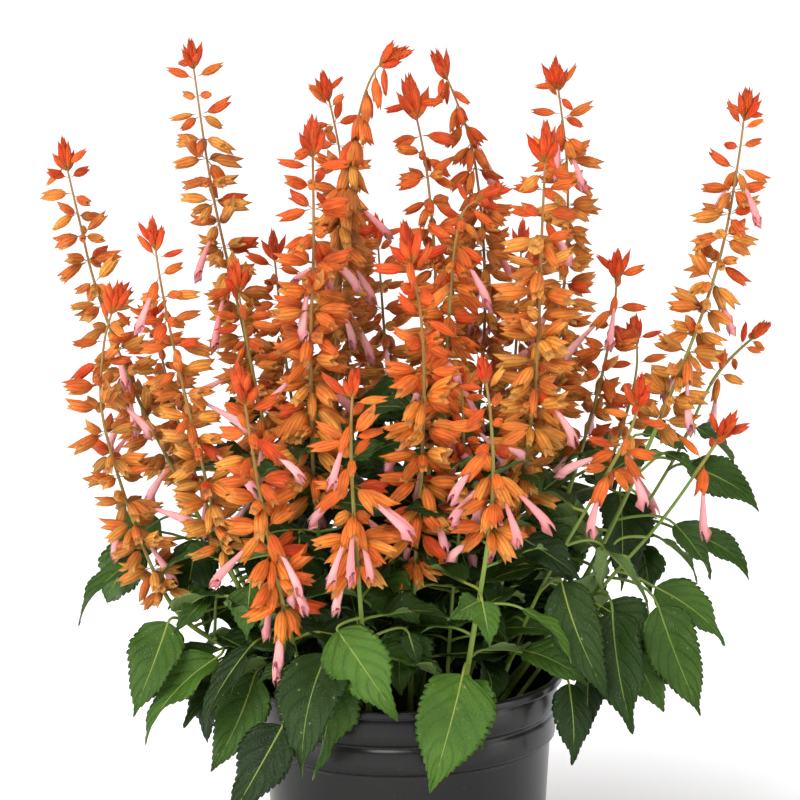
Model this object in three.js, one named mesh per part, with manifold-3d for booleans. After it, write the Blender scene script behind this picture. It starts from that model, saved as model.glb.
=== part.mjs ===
// Potted scarlet sage: a black nursery pot, soil, leafy shoots and flower spikes.
// Millimetres, +Z up, origin at the centre of the pot's underside, front toward -Y.
import * as THREE from 'three'
import { mergeVertices } from 'three/addons/utils/BufferGeometryUtils.js'
import Module from 'manifold-3d'

const wasm = await Module()
wasm.setup()
const { Manifold, Mesh } = wasm

// Driving dimensions
const POT_HEIGHT = 190
const LIP_RADIUS = 100
const FLOOR = 2.6
const POT_SIDES = 32
const SOIL_SIDES = 24
const SOIL_TOP = 163
const SOIL_GAP = 0.3
const DRAIN_HOLES = 4
const DRAIN_RADIUS = 6
const DRAIN_CIRCLE = 52
const STEM_RADIUS = 2.1
const STALK_RADIUS = 1.7
const STEM_DEPTH = 7
const STEM_SPANS = 4
const HOLE_RADIUS = 3.1
const JOINT_GAP = 0.4
const WHORL_SPACING = 23
const CALYX_LENGTH = 24
const CALYX_WIDTH = 12
const CALYX_DEPTH = 9
const HEAD_LENGTH = 24
const COROLLA_LENGTH = 19
const LEAF_THICKNESS = 1.7
const PETIOLE_RADIUS = 0.9
const PETIOLE_LENGTH = 24

// Pot wall outline: radius and height, outside from the base up, then inside down.
const POT_OUTSIDE = [
  [79, 0], [80.7, 1.8], [91.2, 146.6], [93.2, 149], [94, 164.4], [94.8, 167],
  [95.4, 184.6], [LIP_RADIUS, 185], [LIP_RADIUS, 189.4], [99.4, POT_HEIGHT],
]
const POT_INSIDE = [
  [95.6, POT_HEIGHT], [93.2, 184.6], [92.6, 168], [89.4, 147.6], [78.9, FLOOR],
]

// Each shoot: points its stem runs through, and the length of its flowering part.
const SHOOTS = [
  { path: [[-50, 16, 163], [-99, 20, 230], [-160, 30, 347], [-190, 40, 426], [-202, 40, 481],
    [-211, 38, 530]], bloom: 232 },
  { path: [[-40, 40, 163], [-74, 45, 253], [-98, 48, 395], [-117, 50, 494], [-128, 44, 591]], bloom: 300 },
  { path: [[-46, -24, 163], [-101, -50, 256], [-123, -68, 353], [-138, -75, 433], [-145, -75, 488]],
    bloom: 222 },
  { path: [[-62, -10, 163], [-99, -20, 204], [-146, -28, 244], [-180, -35, 348], [-181, -32, 404],
    [-169, -20, 444]], bloom: 205 },
  { path: [[-28, 4, 163], [-63, 4, 243], [-89, 8, 365], [-103, 12, 454]], bloom: 150 },
  { path: [[-52, -48, 163], [-68, -84, 232], [-82, -108, 317], [-93, -120, 406]], bloom: 158 },
  { path: [[-18, -20, 163], [-50, -30, 269], [-54, -42, 384], [-50, -48, 470], [-49, -50, 545]], bloom: 245 },
  { path: [[-8, 62, 163], [-28, 85, 271], [-35, 98, 403], [-35, 98, 502], [-46, 90, 568]], bloom: 240 },
  { path: [[-14, 30, 163], [-37, 30, 282], [-39, 28, 425], [-27, 24, 519], [-11, 20, 569], [12, 16, 578]],
    bloom: 268 },
  { path: [[8, 36, 163], [13, 38, 253], [24, 44, 402], [21, 47, 495], [9, 50, 565]], bloom: 245 },
  { path: [[28, 62, 163], [43, 80, 270], [57, 92, 402], [53, 95, 501], [37, 92, 556], [24, 90, 578]],
    bloom: 275 },
  { path: [[2, -34, 163], [5, -52, 241], [13, -68, 344], [14, -78, 418], [4, -82, 483]], bloom: 222 },
  { path: [[-22, -62, 163], [-26, -96, 253], [-29, -126, 349], [-26, -135, 404]], bloom: 140 },
  { path: [[24, -36, 163], [29, -42, 238], [38, -48, 327], [37, -48, 394]], bloom: 100 },
  { path: [[30, -54, 163], [38, -72, 211], [52, -104, 307], [53, -116, 363], [48, -120, 408]], bloom: 122 },
  { path: [[32, 40, 163], [76, 60, 240], [103, 76, 377], [112, 80, 487], [104, 75, 573]], bloom: 285 },
  { path: [[30, -12, 163], [65, -25, 266], [82, -44, 375], [87, -52, 467], [91, -56, 539]], bloom: 255 },
  { path: [[8, 6, 163], [23, -4, 275], [31, -2, 408], [39, 0, 474], [53, 2, 489], [70, 6, 493]], bloom: 165 },
  { path: [[46, 22, 163], [91, 25, 254], [125, 30, 357], [137, 30, 414], [140, 30, 454]], bloom: 142 },
  { path: [[50, 40, 163], [108, 60, 236], [144, 90, 320], [158, 104, 365], [157, 110, 402]], bloom: 104 },
  { path: [[50, -30, 163], [81, -46, 245], [120, -68, 320], [138, -84, 359], [144, -92, 392]], bloom: 84 },
  { path: [[58, 4, 163], [118, 4, 252], [169, 6, 360], [199, 4, 441], [212, 2, 506], [218, 0, 555]],
    bloom: 225 },
  { path: [[55, 22, 163], [126, 44, 238], [177, 60, 310], [207, 70, 365], [244, 82, 398]], bloom: 58 },
  { path: [[62, -14, 163], [118, -16, 237], [161, -20, 287], [188, -24, 326], [207, -28, 356]], bloom: 48 },
  { path: [[-30, 64, 163], [-52, 95, 256], [-73, 122, 347], [-84, 132, 461]], bloom: 148 },
  { path: [[-54, 40, 163], [-103, 62, 230], [-140, 88, 313], [-168, 112, 422]], bloom: 152 },
  { path: [[8, 58, 163], [-2, 125, 262], [-8, 155, 354], [-14, 175, 468]], bloom: 160 },
  { path: [[40, 54, 163], [63, 125, 261], [78, 152, 353], [87, 176, 459]], bloom: 155 },
]

// Leaves seen from the front: blade base x y z, tip x y z, width, how far the face turns to the front.
const LEAVES = [
  [-74, -110, 178, -107, -124, 124, 44, 0.5],
  [-157, -12, 275, -208, -20, 230, 40, 0.35],
  [-155, 18, 287, -191, 14, 259, 42, 0.5],
  [-149, -18, 264, -179, -26, 219, 48, 0.55],
  [-146, -45, 235, -169, -62, 180, 46, 0.6],
  [-124, -34, 239, -153, -44, 220, 26, 0.4],
  [-130, -20, 239, -158, -24, 231, 22, 0.1],
  [-116, -52, 214, -163, -66, 164, 44, 0.5],
  [-94, -66, 216, -126, -84, 166, 26, 0.1],
  [-93, -52, 203, -122, -66, 145, 46, 0.7],
  [-118, -34, 205, -125, -40, 155, 34, 0.5],
  [-48, -92, 226, -68, -122, 159, 50, 0.85],
  [-46, -84, 214, -57, -114, 154, 44, 0.85],
  [-40, -100, 233, -5, -122, 183, 42, 0.75],
  [0, -66, 232, -3, -84, 196, 42, 0.8],
  [2, -84, 235, 8, -92, 213, 14, 0.2],
  [-70, -62, 209, -91, -72, 203, 20, 0.4],
  [-66, -84, 232, -67, -92, 216, 16, 0.6],
  [34, -98, 212, 13, -124, 147, 52, 0.9],
  [39, -90, 206, 45, -112, 170, 34, 0.7],
  [44, -100, 257, 25, -110, 249, 18, 0.5],
  [46, -112, 260, 50, -122, 234, 20, 0.7],
  [74, -62, 286, 107, -76, 265, 34, 0.5],
  [122, -44, 278, 153, -56, 237, 24, 0.1],
  [140, 30, 297, 139, 12, 235, 54, 0.9],
  [155, 40, 259, 159, 30, 229, 38, 0.8],
  [172, 14, 279, 196, 8, 245, 34, 0.5],
  [187, 26, 268, 224, 22, 240, 26, 0.35],
  [167, 30, 265, 191, 26, 237, 24, -0.3],
  [158, -16, 244, 202, -26, 209, 38, 0.5],
  [157, -42, 238, 183, -54, 170, 46, 0.65],
  [127, -62, 240, 138, -80, 167, 52, 0.7],
  [125, -34, 237, 162, -46, 203, 44, 0.5],
  [140, -34, 212, 161, -44, 171, 38, 0.6],
  [96, -66, 260, 124, -86, 190, 42, 0.55],
  [71, -92, 250, 101, -106, 221, 22, 0],
  [73, -54, 215, 111, -76, 199, 34, 0.5],
  [101, -46, 191, 102, -54, 140, 32, 0.6],
  [116, -14, 192, 115, -18, 151, 28, 0.5],
  [186, 40, 311, 232, 34, 283, 36, 0.4],
  [194, 52, 311, 205, 50, 287, 26, -0.4],
  [193, 62, 332, 220, 60, 304, 34, 0.3],
  [169, 30, 313, 192, 26, 296, 18, 0.2],
  [155, 36, 325, 185, 34, 314, 26, 0.4],
  [132, -18, 265, 122, -24, 237, 30, -0.2],
  [137, -12, 228, 161, -14, 210, 22, 0.3],
  [22, -40, 254, 17, -58, 206, 46, 0.8],
  [-17, -60, 264, 10, -72, 237, 36, 0.6],
  [-117, -36, 268, -122, -46, 217, 42, 0.7],
  [-102, -50, 259, -106, -60, 227, 32, 0.6],
  [-94, -44, 237, -98, -56, 194, 40, 0.7],
  [-92, -28, 272, -88, -40, 232, 44, 0.8],
  [-64, -40, 272, -61, -50, 231, 42, 0.8],
  [-42, -30, 269, -51, -42, 239, 38, 0.7],
  [36, -10, 276, 47, -24, 236, 42, 0.8],
  [-32, 40, 293, -47, 30, 256, 44, 0.8],
  [-1, 55, 293, 3, 40, 253, 46, 0.8],
  [74, 10, 238, 90, 2, 207, 40, 0.7],
  [-140, 20, 260, -133, 14, 231, 36, 0.5],
  [43, 40, 252, 31, 30, 211, 44, 0.8],
  [103, 50, 275, 109, 42, 233, 42, 0.7],
]

// Leaves at the back and sides: rings of compass angle range, count, base radius and height,
// tip radius and height.
const BACK_RINGS = [
  { from: 48, to: 132, count: 5, base: [112, 214], tip: [160, 168] },
  { from: 25, to: 158, count: 8, base: [92, 252], tip: [146, 214] },
  { from: 35, to: 150, count: 6, base: [72, 292], tip: [124, 262] },
]

// Leaf outline: station along the blade and half width there, teeth and notches in turn.
const LEAF_EDGE = [[0.06, 0.5], [0.2, 0.95], [0.26, 0.84], [0.42, 1], [0.49, 0.8], [0.66, 0.64], [0.73, 0.42]]
const LEAF_MIDRIB = [0.22, 0.5, 0.78]

// A repeatable draw between 0 and 1.
const draw = n => {
  const x = Math.sin(n * 12.9898) * 43758.5453
  return x - Math.floor(x)
}
const vec = p => new THREE.Vector3(p[0], p[1], p[2])
const mix = (a, b, t) => a.clone().lerp(b, t)

// Smooth curve through the points, sixteen samples a span, with the distance run at each sample.
const SAMPLES = 16
function runThrough(points) {
  const curve = new THREE.CatmullRomCurve3(points.map(vec), false, 'catmullrom', 0.5)
  const line = curve.getPoints(SAMPLES * (points.length - 1))
  const reach = [0]
  for (let i = 1; i < line.length; i++) reach.push(reach[i - 1] + line[i].distanceTo(line[i - 1]))
  return { line, reach, length: reach[reach.length - 1] }
}

// The point at a distance along a curve.
function pointAt(curve, s) {
  const { line, reach } = curve
  let i = 1
  while (i < line.length - 1 && reach[i] < s) i++
  return mix(line[i - 1], line[i], (s - reach[i - 1]) / (reach[i] - reach[i - 1]))
}

// Point, direction and two crosswise directions at a distance along a curve.
function frameAt(curve, s) {
  const at = pointAt(curve, s)
  const along = pointAt(curve, s + 1).sub(pointAt(curve, s - 1)).normalize()
  const side = new THREE.Vector3(0, 1, 0).cross(along).normalize()
  const across = along.clone().cross(side)
  return { at, along, side, across }
}

// A growing mesh of points and outward triangles.
class Shell {
  constructor() {
    this.points = []
    this.faces = []
  }
  add(p) {
    this.points.push(p.x, p.y, p.z)
    return this.points.length / 3 - 1
  }
  ring(frame, radius, turn, sides) {
    const ids = []
    for (let i = 0; i < sides; i++) {
      const a = turn + (2 * Math.PI * i) / sides
      const p = frame.at.clone()
      p.addScaledVector(frame.side, radius * Math.cos(a)).addScaledVector(frame.across, radius * Math.sin(a))
      ids.push(this.add(p))
    }
    return ids
  }
  quad(a, b, c, d) {
    this.faces.push([a, b, c], [a, c, d])
  }
  tube(low, high) {
    for (let i = 0; i < low.length; i++) {
      const j = (i + 1) % low.length
      this.quad(low[i], low[j], high[j], high[i])
    }
  }
  solid() {
    return solidFrom(this.points, this.faces.flat())
  }
}

function solidFrom(points, corners) {
  return new Manifold(new Mesh({
    numProp: 3,
    vertProperties: new Float32Array(points),
    triVerts: new Uint32Array(corners),
  }))
}

// A solid from a closed geometry of its own, stood upright.
function solidOf(geometry) {
  geometry.deleteAttribute('normal')
  geometry.deleteAttribute('uv')
  geometry.rotateX(Math.PI / 2)
  const merged = mergeVertices(geometry, 1e-4)
  return solidFrom(merged.attributes.position.array, merged.index.array)
}

// Place and crosswise directions of a ring of a green stem: upright where it leaves the soil.
function stemRing(n, i) {
  const curve = curves[n]
  if (i > 0) return frameAt(curve, ((bloomFrom[n] - JOINT_GAP / 2) * i) / STEM_SPANS)
  const at = curve.line[0].clone()
  at.z += 1.8
  return { at, side: vec([1, 0, 0]), across: vec([0, 1, 0]) }
}

// The green stem of a shoot: a square tube standing in the soil, up to its flowering part.
function leafyStem(n) {
  const shell = new Shell()
  const foot = stemRing(n, 0)
  foot.at.z -= STEM_DEPTH + 1.8
  const rings = [shell.ring(foot, STEM_RADIUS, Math.PI / 4, 4)]
  for (let i = 0; i <= STEM_SPANS; i++) {
    const radius = STEM_RADIUS + ((STALK_RADIUS - STEM_RADIUS) * i) / STEM_SPANS
    rings.push(shell.ring(stemRing(n, i), radius, Math.PI / 4, 4))
  }
  for (let i = 1; i < rings.length; i++) shell.tube(rings[i - 1], rings[i])
  const bottom = rings[0]
  const top = rings[rings.length - 1]
  shell.quad(bottom[0], bottom[3], bottom[2], bottom[1])
  shell.quad(top[0], top[1], top[2], top[3])
  return shell.solid()
}

// A point on a green stem, a share of the way up.
function stemPoint(n, share) {
  const i = Math.min(STEM_SPANS - 1, Math.floor(share * STEM_SPANS))
  return mix(stemRing(n, i).at, stemRing(n, i + 1).at, share * STEM_SPANS - i)
}

// Gap between two short straight runs, each given by its ends.
function runGap(a, b, c, d) {
  const u = b.clone().sub(a)
  const v = d.clone().sub(c)
  const w = a.clone().sub(c)
  const uu = u.dot(u)
  const uv = u.dot(v)
  const vv = v.dot(v)
  const uw = u.dot(w)
  const vw = v.dot(w)
  const clamp = x => Math.min(1, Math.max(0, x))
  const bottom = uu * vv - uv * uv
  let s = bottom > 1e-9 ? clamp((uv * vw - vv * uw) / bottom) : 0
  const t = clamp((uv * s + vw) / vv)
  s = clamp((uv * t - uw) / uu)
  return a.clone().addScaledVector(u, s).distanceTo(c.clone().addScaledVector(v, t))
}

const curves = SHOOTS.map(shoot => runThrough(shoot.path))
const bloomFrom = SHOOTS.map((shoot, n) => curves[n].length - shoot.bloom)

// Room already taken: stems first, then calyces as they are placed.
const taken = []
curves.forEach((curve, n) => {
  const count = Math.ceil(curve.length / 15)
  for (let i = 0; i < count; i++) {
    const from = pointAt(curve, (curve.length * i) / count)
    const to = pointAt(curve, (curve.length * (i + 1)) / count)
    taken.push({ owner: n, from, to, radius: STEM_RADIUS + 0.4 })
  }
})

function isFree(owner, from, to, radius) {
  for (const run of taken) {
    if (run.owner === owner) continue
    if (runGap(from, to, run.from, run.to) < run.radius + radius) return false
  }
  return true
}

// Try a few pitches and lengths for a calyx and keep the first that is clear of its neighbours.
const PITCH_TRIES = [0, 0.3, -0.3, 0.55, -0.5]
const LENGTH_TRIES = [1, 0.75]
function fitCalyx(owner, frame, angle, pitch, length, width, corolla) {
  const radial = frame.side.clone().multiplyScalar(Math.cos(angle)).addScaledVector(frame.across, Math.sin(angle))
  for (const shorter of LENGTH_TRIES) {
    for (const shift of PITCH_TRIES) {
      const p = pitch + shift
      const out = radial.clone().multiplyScalar(Math.cos(p)).addScaledVector(frame.along, Math.sin(p))
      const up = radial.clone().multiplyScalar(-Math.sin(p)).addScaledVector(frame.along, Math.cos(p))
      const reach = length * shorter
      const from = frame.at.clone().addScaledVector(out, reach * 0.3)
      const mouth = frame.at.clone().addScaledVector(out, reach + 1)
      if (!isFree(owner, from, mouth, width * 0.5 + 0.3)) continue
      const tip = frame.at.clone().addScaledVector(out, reach + COROLLA_LENGTH)
      const open = corolla && isFree(owner, mouth, tip, 3)
      taken.push({ owner, from, to: mouth, radius: width * 0.5 + 0.3 })
      if (open) taken.push({ owner, from: mouth, to: tip, radius: 3 })
      return { out, up, reach, open }
    }
  }
  return null
}

// One calyx drawn out of a side of the stalk: a pod widest past its middle with two pointed lips.
function drawCalyx(shell, frame, angle, fit, width, ids) {
  const [lowLeft, lowRight, highRight, highLeft] = ids
  const { out, up, reach } = fit
  const right = frame.across.clone().multiplyScalar(Math.cos(angle)).addScaledVector(frame.side, -Math.sin(angle))
  const spot = (along, above, aside) => {
    const p = frame.at.clone().addScaledVector(out, along * reach)
    return shell.add(p.addScaledVector(up, above).addScaledVector(right, aside))
  }
  const half = width / 2
  const deep = (CALYX_DEPTH * width) / CALYX_WIDTH / 2
  const left = spot(0.62, 0, -half)
  const rightSide = spot(0.62, 0, half)
  const upper = spot(1, deep, 0)
  const lower = spot(0.94, -deep, 0)
  shell.faces.push([highRight, highLeft, upper], [highLeft, left, upper], [rightSide, highRight, upper])
  shell.faces.push([lowLeft, lowRight, lower], [lowLeft, lower, left], [lowRight, rightSide, lower])
  shell.faces.push([lowLeft, left, highLeft], [lowRight, highRight, rightSide])
  if (!fit.open) {
    shell.faces.push([upper, left, rightSide], [lower, rightSide, left])
    return
  }
  const throatUp = spot(0.84, 2, 0)
  const throatLeft = spot(0.76, 0, -2)
  const throatLow = spot(0.84, -2, 0)
  const throatRight = spot(0.76, 0, 2)
  const outer = [upper, left, lower, rightSide]
  const inner = [throatUp, throatLeft, throatLow, throatRight]
  for (let i = 0; i < 4; i++) {
    const j = (i + 1) % 4
    shell.quad(outer[i], outer[j], inner[j], inner[i])
  }
  const hood = spot(1 + COROLLA_LENGTH / reach, 1.6, 0)
  const lip = spot(0.94 + COROLLA_LENGTH / reach, -3.4, 0)
  shell.faces.push([throatUp, throatLeft, hood], [throatLeft, lip, hood], [throatLeft, throatLow, lip])
  shell.faces.push([throatLow, throatRight, lip], [throatRight, throatUp, hood], [throatRight, hood, lip])
}

// A flower spike: three-sided stalk, whorls of three calyces turned by a sixth each time, bud head on top.
function flowerSpike(n) {
  const curve = curves[n]
  const shell = new Shell()
  const start = bloomFrom[n]
  const opened = SHOOTS[n].bloom - HEAD_LENGTH
  const count = Math.max(1, Math.round(opened / WHORL_SPACING))
  const whorls = []
  for (let k = 0; k < count; k++) {
    const age = 1 - k / count
    const s = start + 4 + (opened * (k + 0.3 * draw(n * 31 + k))) / count
    const pitch = 0.75 - 0.75 * age + 0.35 * (draw(n * 17 + k * 3) - 0.5)
    const size = 0.8 + 0.2 * Math.min(1, age * 3)
    whorls.push({ s, pitch, length: CALYX_LENGTH * size, width: CALYX_WIDTH * size, bud: false })
  }
  whorls.push({ s: curve.length - 19, pitch: 0.95, length: 18, width: 10, bud: true })
  whorls.push({ s: curve.length - 11, pitch: 1.1, length: 14, width: 8, bud: true })
  const turn = 2 * Math.PI * draw(n + 0.5)
  let below = null
  const bottom = shell.ring(frameAt(curve, start + JOINT_GAP / 2), STALK_RADIUS, turn - Math.PI / 3, 3)
  shell.faces.push([bottom[0], bottom[2], bottom[1]])
  below = bottom
  whorls.forEach((whorl, k) => {
    const frame = frameAt(curve, whorl.s)
    const angle = turn + (k * Math.PI) / 3
    const radius = STALK_RADIUS * (1 - 0.3 * (k / whorls.length))
    const low = shell.ring({ ...frame, at: frame.at.clone().addScaledVector(frame.along, -1.4) }, radius, angle, 3)
    const high = shell.ring({ ...frame, at: frame.at.clone().addScaledVector(frame.along, 1.4) }, radius, angle, 3)
    for (let i = 0; i < 3; i++) {
      const j = (i + 1) % 3
      shell.faces.push([below[i], below[j], low[i]], [low[i], below[j], low[j]])
    }
    for (let i = 0; i < 3; i++) {
      const j = (i + 1) % 3
      const facing = angle + Math.PI / 3 + (2 * Math.PI * i) / 3
      const tilt = whorl.pitch + (whorl.bud ? 0 : 0.3 * (draw(n * 53 + k * 7 + i) - 0.5))
      const corolla = !whorl.bud && draw(n * 71 + k * 5 + i * 2) < 0.1
      const fit = fitCalyx(n, frame, facing, tilt, whorl.length, whorl.width, corolla)
      const ids = [low[i], low[j], high[j], high[i]]
      if (fit) drawCalyx(shell, frame, facing, fit, whorl.width, ids)
      else shell.quad(...ids)
    }
    below = high
  })
  const tip = shell.add(curve.line[curve.line.length - 1])
  for (let i = 0; i < 3; i++) shell.faces.push([below[i], below[(i + 1) % 3], tip])
  return shell.solid()
}

// The middle line of a blade, arched between base and tip, with the way its face looks.
function midribOf(base, tip, face) {
  const run = tip.clone().sub(base)
  const ahead = run.clone().normalize()
  const normal = new THREE.Vector3(0, -face, 1 - Math.abs(face))
  normal.addScaledVector(ahead, -normal.dot(ahead)).normalize()
  const bend = mix(base, tip, 0.5).addScaledVector(normal, 0.16 * run.length())
  const midrib = t => {
    const p = base.clone().multiplyScalar((1 - t) * (1 - t))
    return p.addScaledVector(bend, 2 * t * (1 - t)).addScaledVector(tip, t * t)
  }
  return { midrib, normal, aside: ahead.clone().cross(normal) }
}

// Triangles between two rows of [station, point], stepping along whichever is behind.
function bridge(shell, outside, inside, flip) {
  let i = 0
  let j = 0
  while (i < outside.length - 1 || j < inside.length - 1) {
    const ahead = j === inside.length - 1 || (i < outside.length - 1 && outside[i + 1][0] <= inside[j + 1][0])
    const tri = [outside[i][1], ahead ? outside[i + 1][1] : inside[j + 1][1], inside[j][1]]
    if (ahead) i++
    else j++
    if (new Set(tri).size === 3) shell.faces.push(flip ? [tri[0], tri[2], tri[1]] : tri)
  }
}

// Three points round a cut through a leaf stalk, square to the way it goes: top, left and right.
function stalkCut(shell, at, way, aside) {
  const level = aside.clone().addScaledVector(way, -aside.dot(way)).normalize()
  const up = level.clone().cross(way)
  const r = PETIOLE_RADIUS
  const top = shell.add(at.clone().addScaledVector(up, r))
  const left = shell.add(at.clone().addScaledVector(up, -0.5 * r).addScaledVector(level, -0.87 * r))
  const right = shell.add(at.clone().addScaledVector(up, -0.5 * r).addScaledVector(level, 0.87 * r))
  return { ids: [top, left, right], level }
}

// The cut where a stalk meets its blade, halfway between the directions of the two.
function stalkEnd(shell, from, base, { midrib, aside }) {
  const way = base.clone().sub(from).normalize().add(midrib(0.1).sub(base).normalize()).normalize()
  return stalkCut(shell, base, way, aside)
}

// A leaf stalk from its root to the cut at its end, which is there already.
function stalkRun(shell, from, base, end) {
  const root = stalkCut(shell, from, base.clone().sub(from).normalize(), end.level).ids
  for (let i = 0; i < 3; i++) {
    const j = (i + 1) % 3
    shell.quad(root[j], root[i], end.ids[i], end.ids[j])
  }
  shell.faces.push(root)
}

// A toothed leaf blade with a ridge along the middle, thin to the edge, the same cut on both faces.
// It carries its stalk down to its root, unless it is wanted bare.
function leafSolid(from, base, tip, width, face, seed, bare) {
  const shell = new Shell()
  const { midrib, normal, aside } = midribOf(base, tip, face)
  const cut = stalkEnd(shell, from, base, { midrib, aside })
  const end = cut.ids
  const tipId = shell.add(tip)
  const ridge = shift => LEAF_MIDRIB.map(t => [t, shell.add(midrib(t).addScaledVector(normal, shift))])
  const upper = [...ridge(LEAF_THICKNESS / 2), [1, tipId]]
  const under = [...ridge(-LEAF_THICKNESS / 2), [1, tipId]]
  for (const sign of [-1, 1]) {
    const edge = LEAF_EDGE.map(([t, w], i) => {
      const spread = (width / 2) * w * (0.96 + 0.08 * draw(seed + i + sign))
      const lift = spread * (0.22 + 0.16 * Math.sin(9 * t + seed))
      return [t, shell.add(midrib(t).addScaledVector(aside, sign * spread).addScaledVector(normal, lift))]
    })
    const outside = [[0, end[sign < 0 ? 1 : 2]], ...edge, [1, tipId]]
    bridge(shell, outside, upper, sign < 0)
    bridge(shell, outside, under, sign > 0)
  }
  shell.faces.push([end[1], end[0], upper[0][1]], [end[2], upper[0][1], end[0]], [end[1], under[0][1], end[2]])
  if (bare) shell.faces.push([end[0], end[1], end[2]])
  else stalkRun(shell, from, base, cut)
  return shell.solid()
}

// The leaf stalk by itself.
function stalkSolid(from, base, tip, face) {
  const shell = new Shell()
  const cut = stalkEnd(shell, from, base, midribOf(base, tip, face))
  stalkRun(shell, from, base, cut)
  const end = cut.ids
  shell.faces.push([end[0], end[2], end[1]])
  return shell.solid()
}

// The places on the four best leafy stems from which a leaf would have a stalk of about the right
// length, which reaches the blade from behind and doesn't double back on it.
function nearestStems({ base, tip, face }) {
  const { midrib, normal } = midribOf(base, tip, face)
  const way = midrib(0.1).sub(base).normalize()
  const places = curves.map((curve, n) => {
    let best = null
    for (let i = 4; i < 20; i++) {
      const at = stemPoint(n, i / 20)
      const run = base.clone().sub(at)
      const reach = run.length()
      const back = Math.max(0, 0.1 - run.dot(way) / reach) + Math.max(0, -run.dot(normal) / reach)
      const cost = Math.abs(reach - PETIOLE_LENGTH) + 0.3 * Math.abs(at.z - base.z + 6) + 60 * back
      if (!best || cost < best.cost) best = { n, at, cost }
    }
    return best
  })
  return places.sort((a, b) => a.cost - b.cost).slice(0, 4)
}

// Small shifts tried in turn until a leaf is clear of everything round it.
const LEAF_TRIES = [
  [0, 0], [0.14, 0], [-0.14, 0], [0, 8], [0, -8], [0.26, 5], [-0.26, 5], [0.26, -9], [-0.26, -9],
  [0.4, 12], [-0.4, 12], [0, 16], [0.6, -5], [-0.6, -5], [0, -16], [0.8, 10], [-0.8, 10],
]
const LEAF_SIZES = [1, 0.8, 0.65]

// Turn a point about an upright line through a centre, then raise it.
function shifted(p, centre, turn, rise) {
  const d = p.clone().sub(centre)
  const x = d.x * Math.cos(turn) - d.y * Math.sin(turn)
  const y = d.x * Math.sin(turn) + d.y * Math.cos(turn)
  return new THREE.Vector3(centre.x + x, centre.y + y, p.z + rise)
}

function leafList() {
  const rows = LEAVES.map(row => ({
    base: vec(row), tip: vec(row.slice(3)), width: row[6], face: row[7],
  }))
  BACK_RINGS.forEach((ring, r) => {
    for (let i = 0; i < ring.count; i++) {
      const seed = r * 40 + i
      const share = (i + 0.5 + 0.4 * (draw(seed) - 0.5)) / ring.count
      const a = ((ring.from + (ring.to - ring.from) * share) * Math.PI) / 180
      const out = 6 * (draw(seed + 9) - 0.5)
      const up = 14 * (draw(seed + 19) - 0.5)
      const b = a + 0.3 * (draw(seed + 29) - 0.5)
      rows.push({
        base: vec([(ring.base[0] + out) * Math.cos(a), (ring.base[0] + out) * Math.sin(a), ring.base[1] + up]),
        tip: vec([(ring.tip[0] + out) * Math.cos(b), (ring.tip[0] + out) * Math.sin(b), ring.tip[1] + up]),
        width: 40 + 8 * draw(seed + 39),
        face: -0.3 * Math.sin(a),
      })
    }
  })
  return rows
}

// A solid turned about the upright axis from radius and height pairs, closed on the axis.
function turned(outline, sides) {
  return solidOf(new THREE.LatheGeometry(outline.map(([r, z]) => new THREE.Vector2(r, z)), sides))
}

// An upright straight plug, used to cut holes.
function plug(x, y, low, high, radius, sides) {
  const geometry = new THREE.CylinderGeometry(radius, radius, high - low, sides)
  return solidOf(geometry).translate(x, y, (low + high) / 2)
}

// The pot: its wall outline turned about the upright axis, then drilled.
function makePot() {
  let pot = turned([[0, 0], ...POT_OUTSIDE, ...POT_INSIDE, [0, FLOOR]], POT_SIDES)
  for (let i = 0; i < DRAIN_HOLES; i++) {
    const a = Math.PI / 4 + (2 * Math.PI * i) / DRAIN_HOLES
    pot = pot.subtract(plug(DRAIN_CIRCLE * Math.cos(a), DRAIN_CIRCLE * Math.sin(a), -5, 10, DRAIN_RADIUS, 8))
  }
  return pot
}

// The soil: fills the pot inside its wall, a little higher in the middle, with a plain hole for each stem.
function makeSoil() {
  const inset = r => (r - SOIL_GAP) * Math.cos(Math.PI / SOIL_SIDES)
  const low = FLOOR + SOIL_GAP
  let soil = turned([
    [0, low], [inset(78.9), low], [inset(89.4), 147.6], [inset(91.4), SOIL_TOP - 2],
    [76, SOIL_TOP + 0.8], [0, SOIL_TOP + 0.8],
  ], SOIL_SIDES)
  for (const curve of curves) {
    const foot = curve.line[0]
    soil = soil.subtract(plug(foot.x, foot.y, SOIL_TOP - STEM_DEPTH - 0.5, SOIL_TOP + 20, HOLE_RADIUS, 5))
  }
  return soil
}

const spikes = SHOOTS.map((shoot, n) => flowerSpike(n))
const stems = SHOOTS.map((shoot, n) => leafyStem(n))
const pot = makePot()
const soil = makeSoil()
const shoots = stems.slice()
const around = [
  { solid: pot }, { solid: soil }, ...spikes.map(solid => ({ solid })), ...stems.map((solid, n) => ({ solid, n })),
]
for (const item of around) item.box = item.solid.boundingBox()

function boxesMeet(a, b) {
  for (let i = 0; i < 3; i++) {
    if (a.min[i] > b.max[i] + 0.4 || b.min[i] > a.max[i] + 0.4) return false
  }
  return true
}

// True when a solid keeps its distance from everything placed, apart from its own stem.
function isClear(solid, own) {
  const box = solid.boundingBox()
  for (const item of around) {
    if (item.n === own && own !== undefined) continue
    if (boxesMeet(box, item.box) && solid.minGap(item.solid, 0.4) < 0.3) return false
  }
  return true
}

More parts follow.
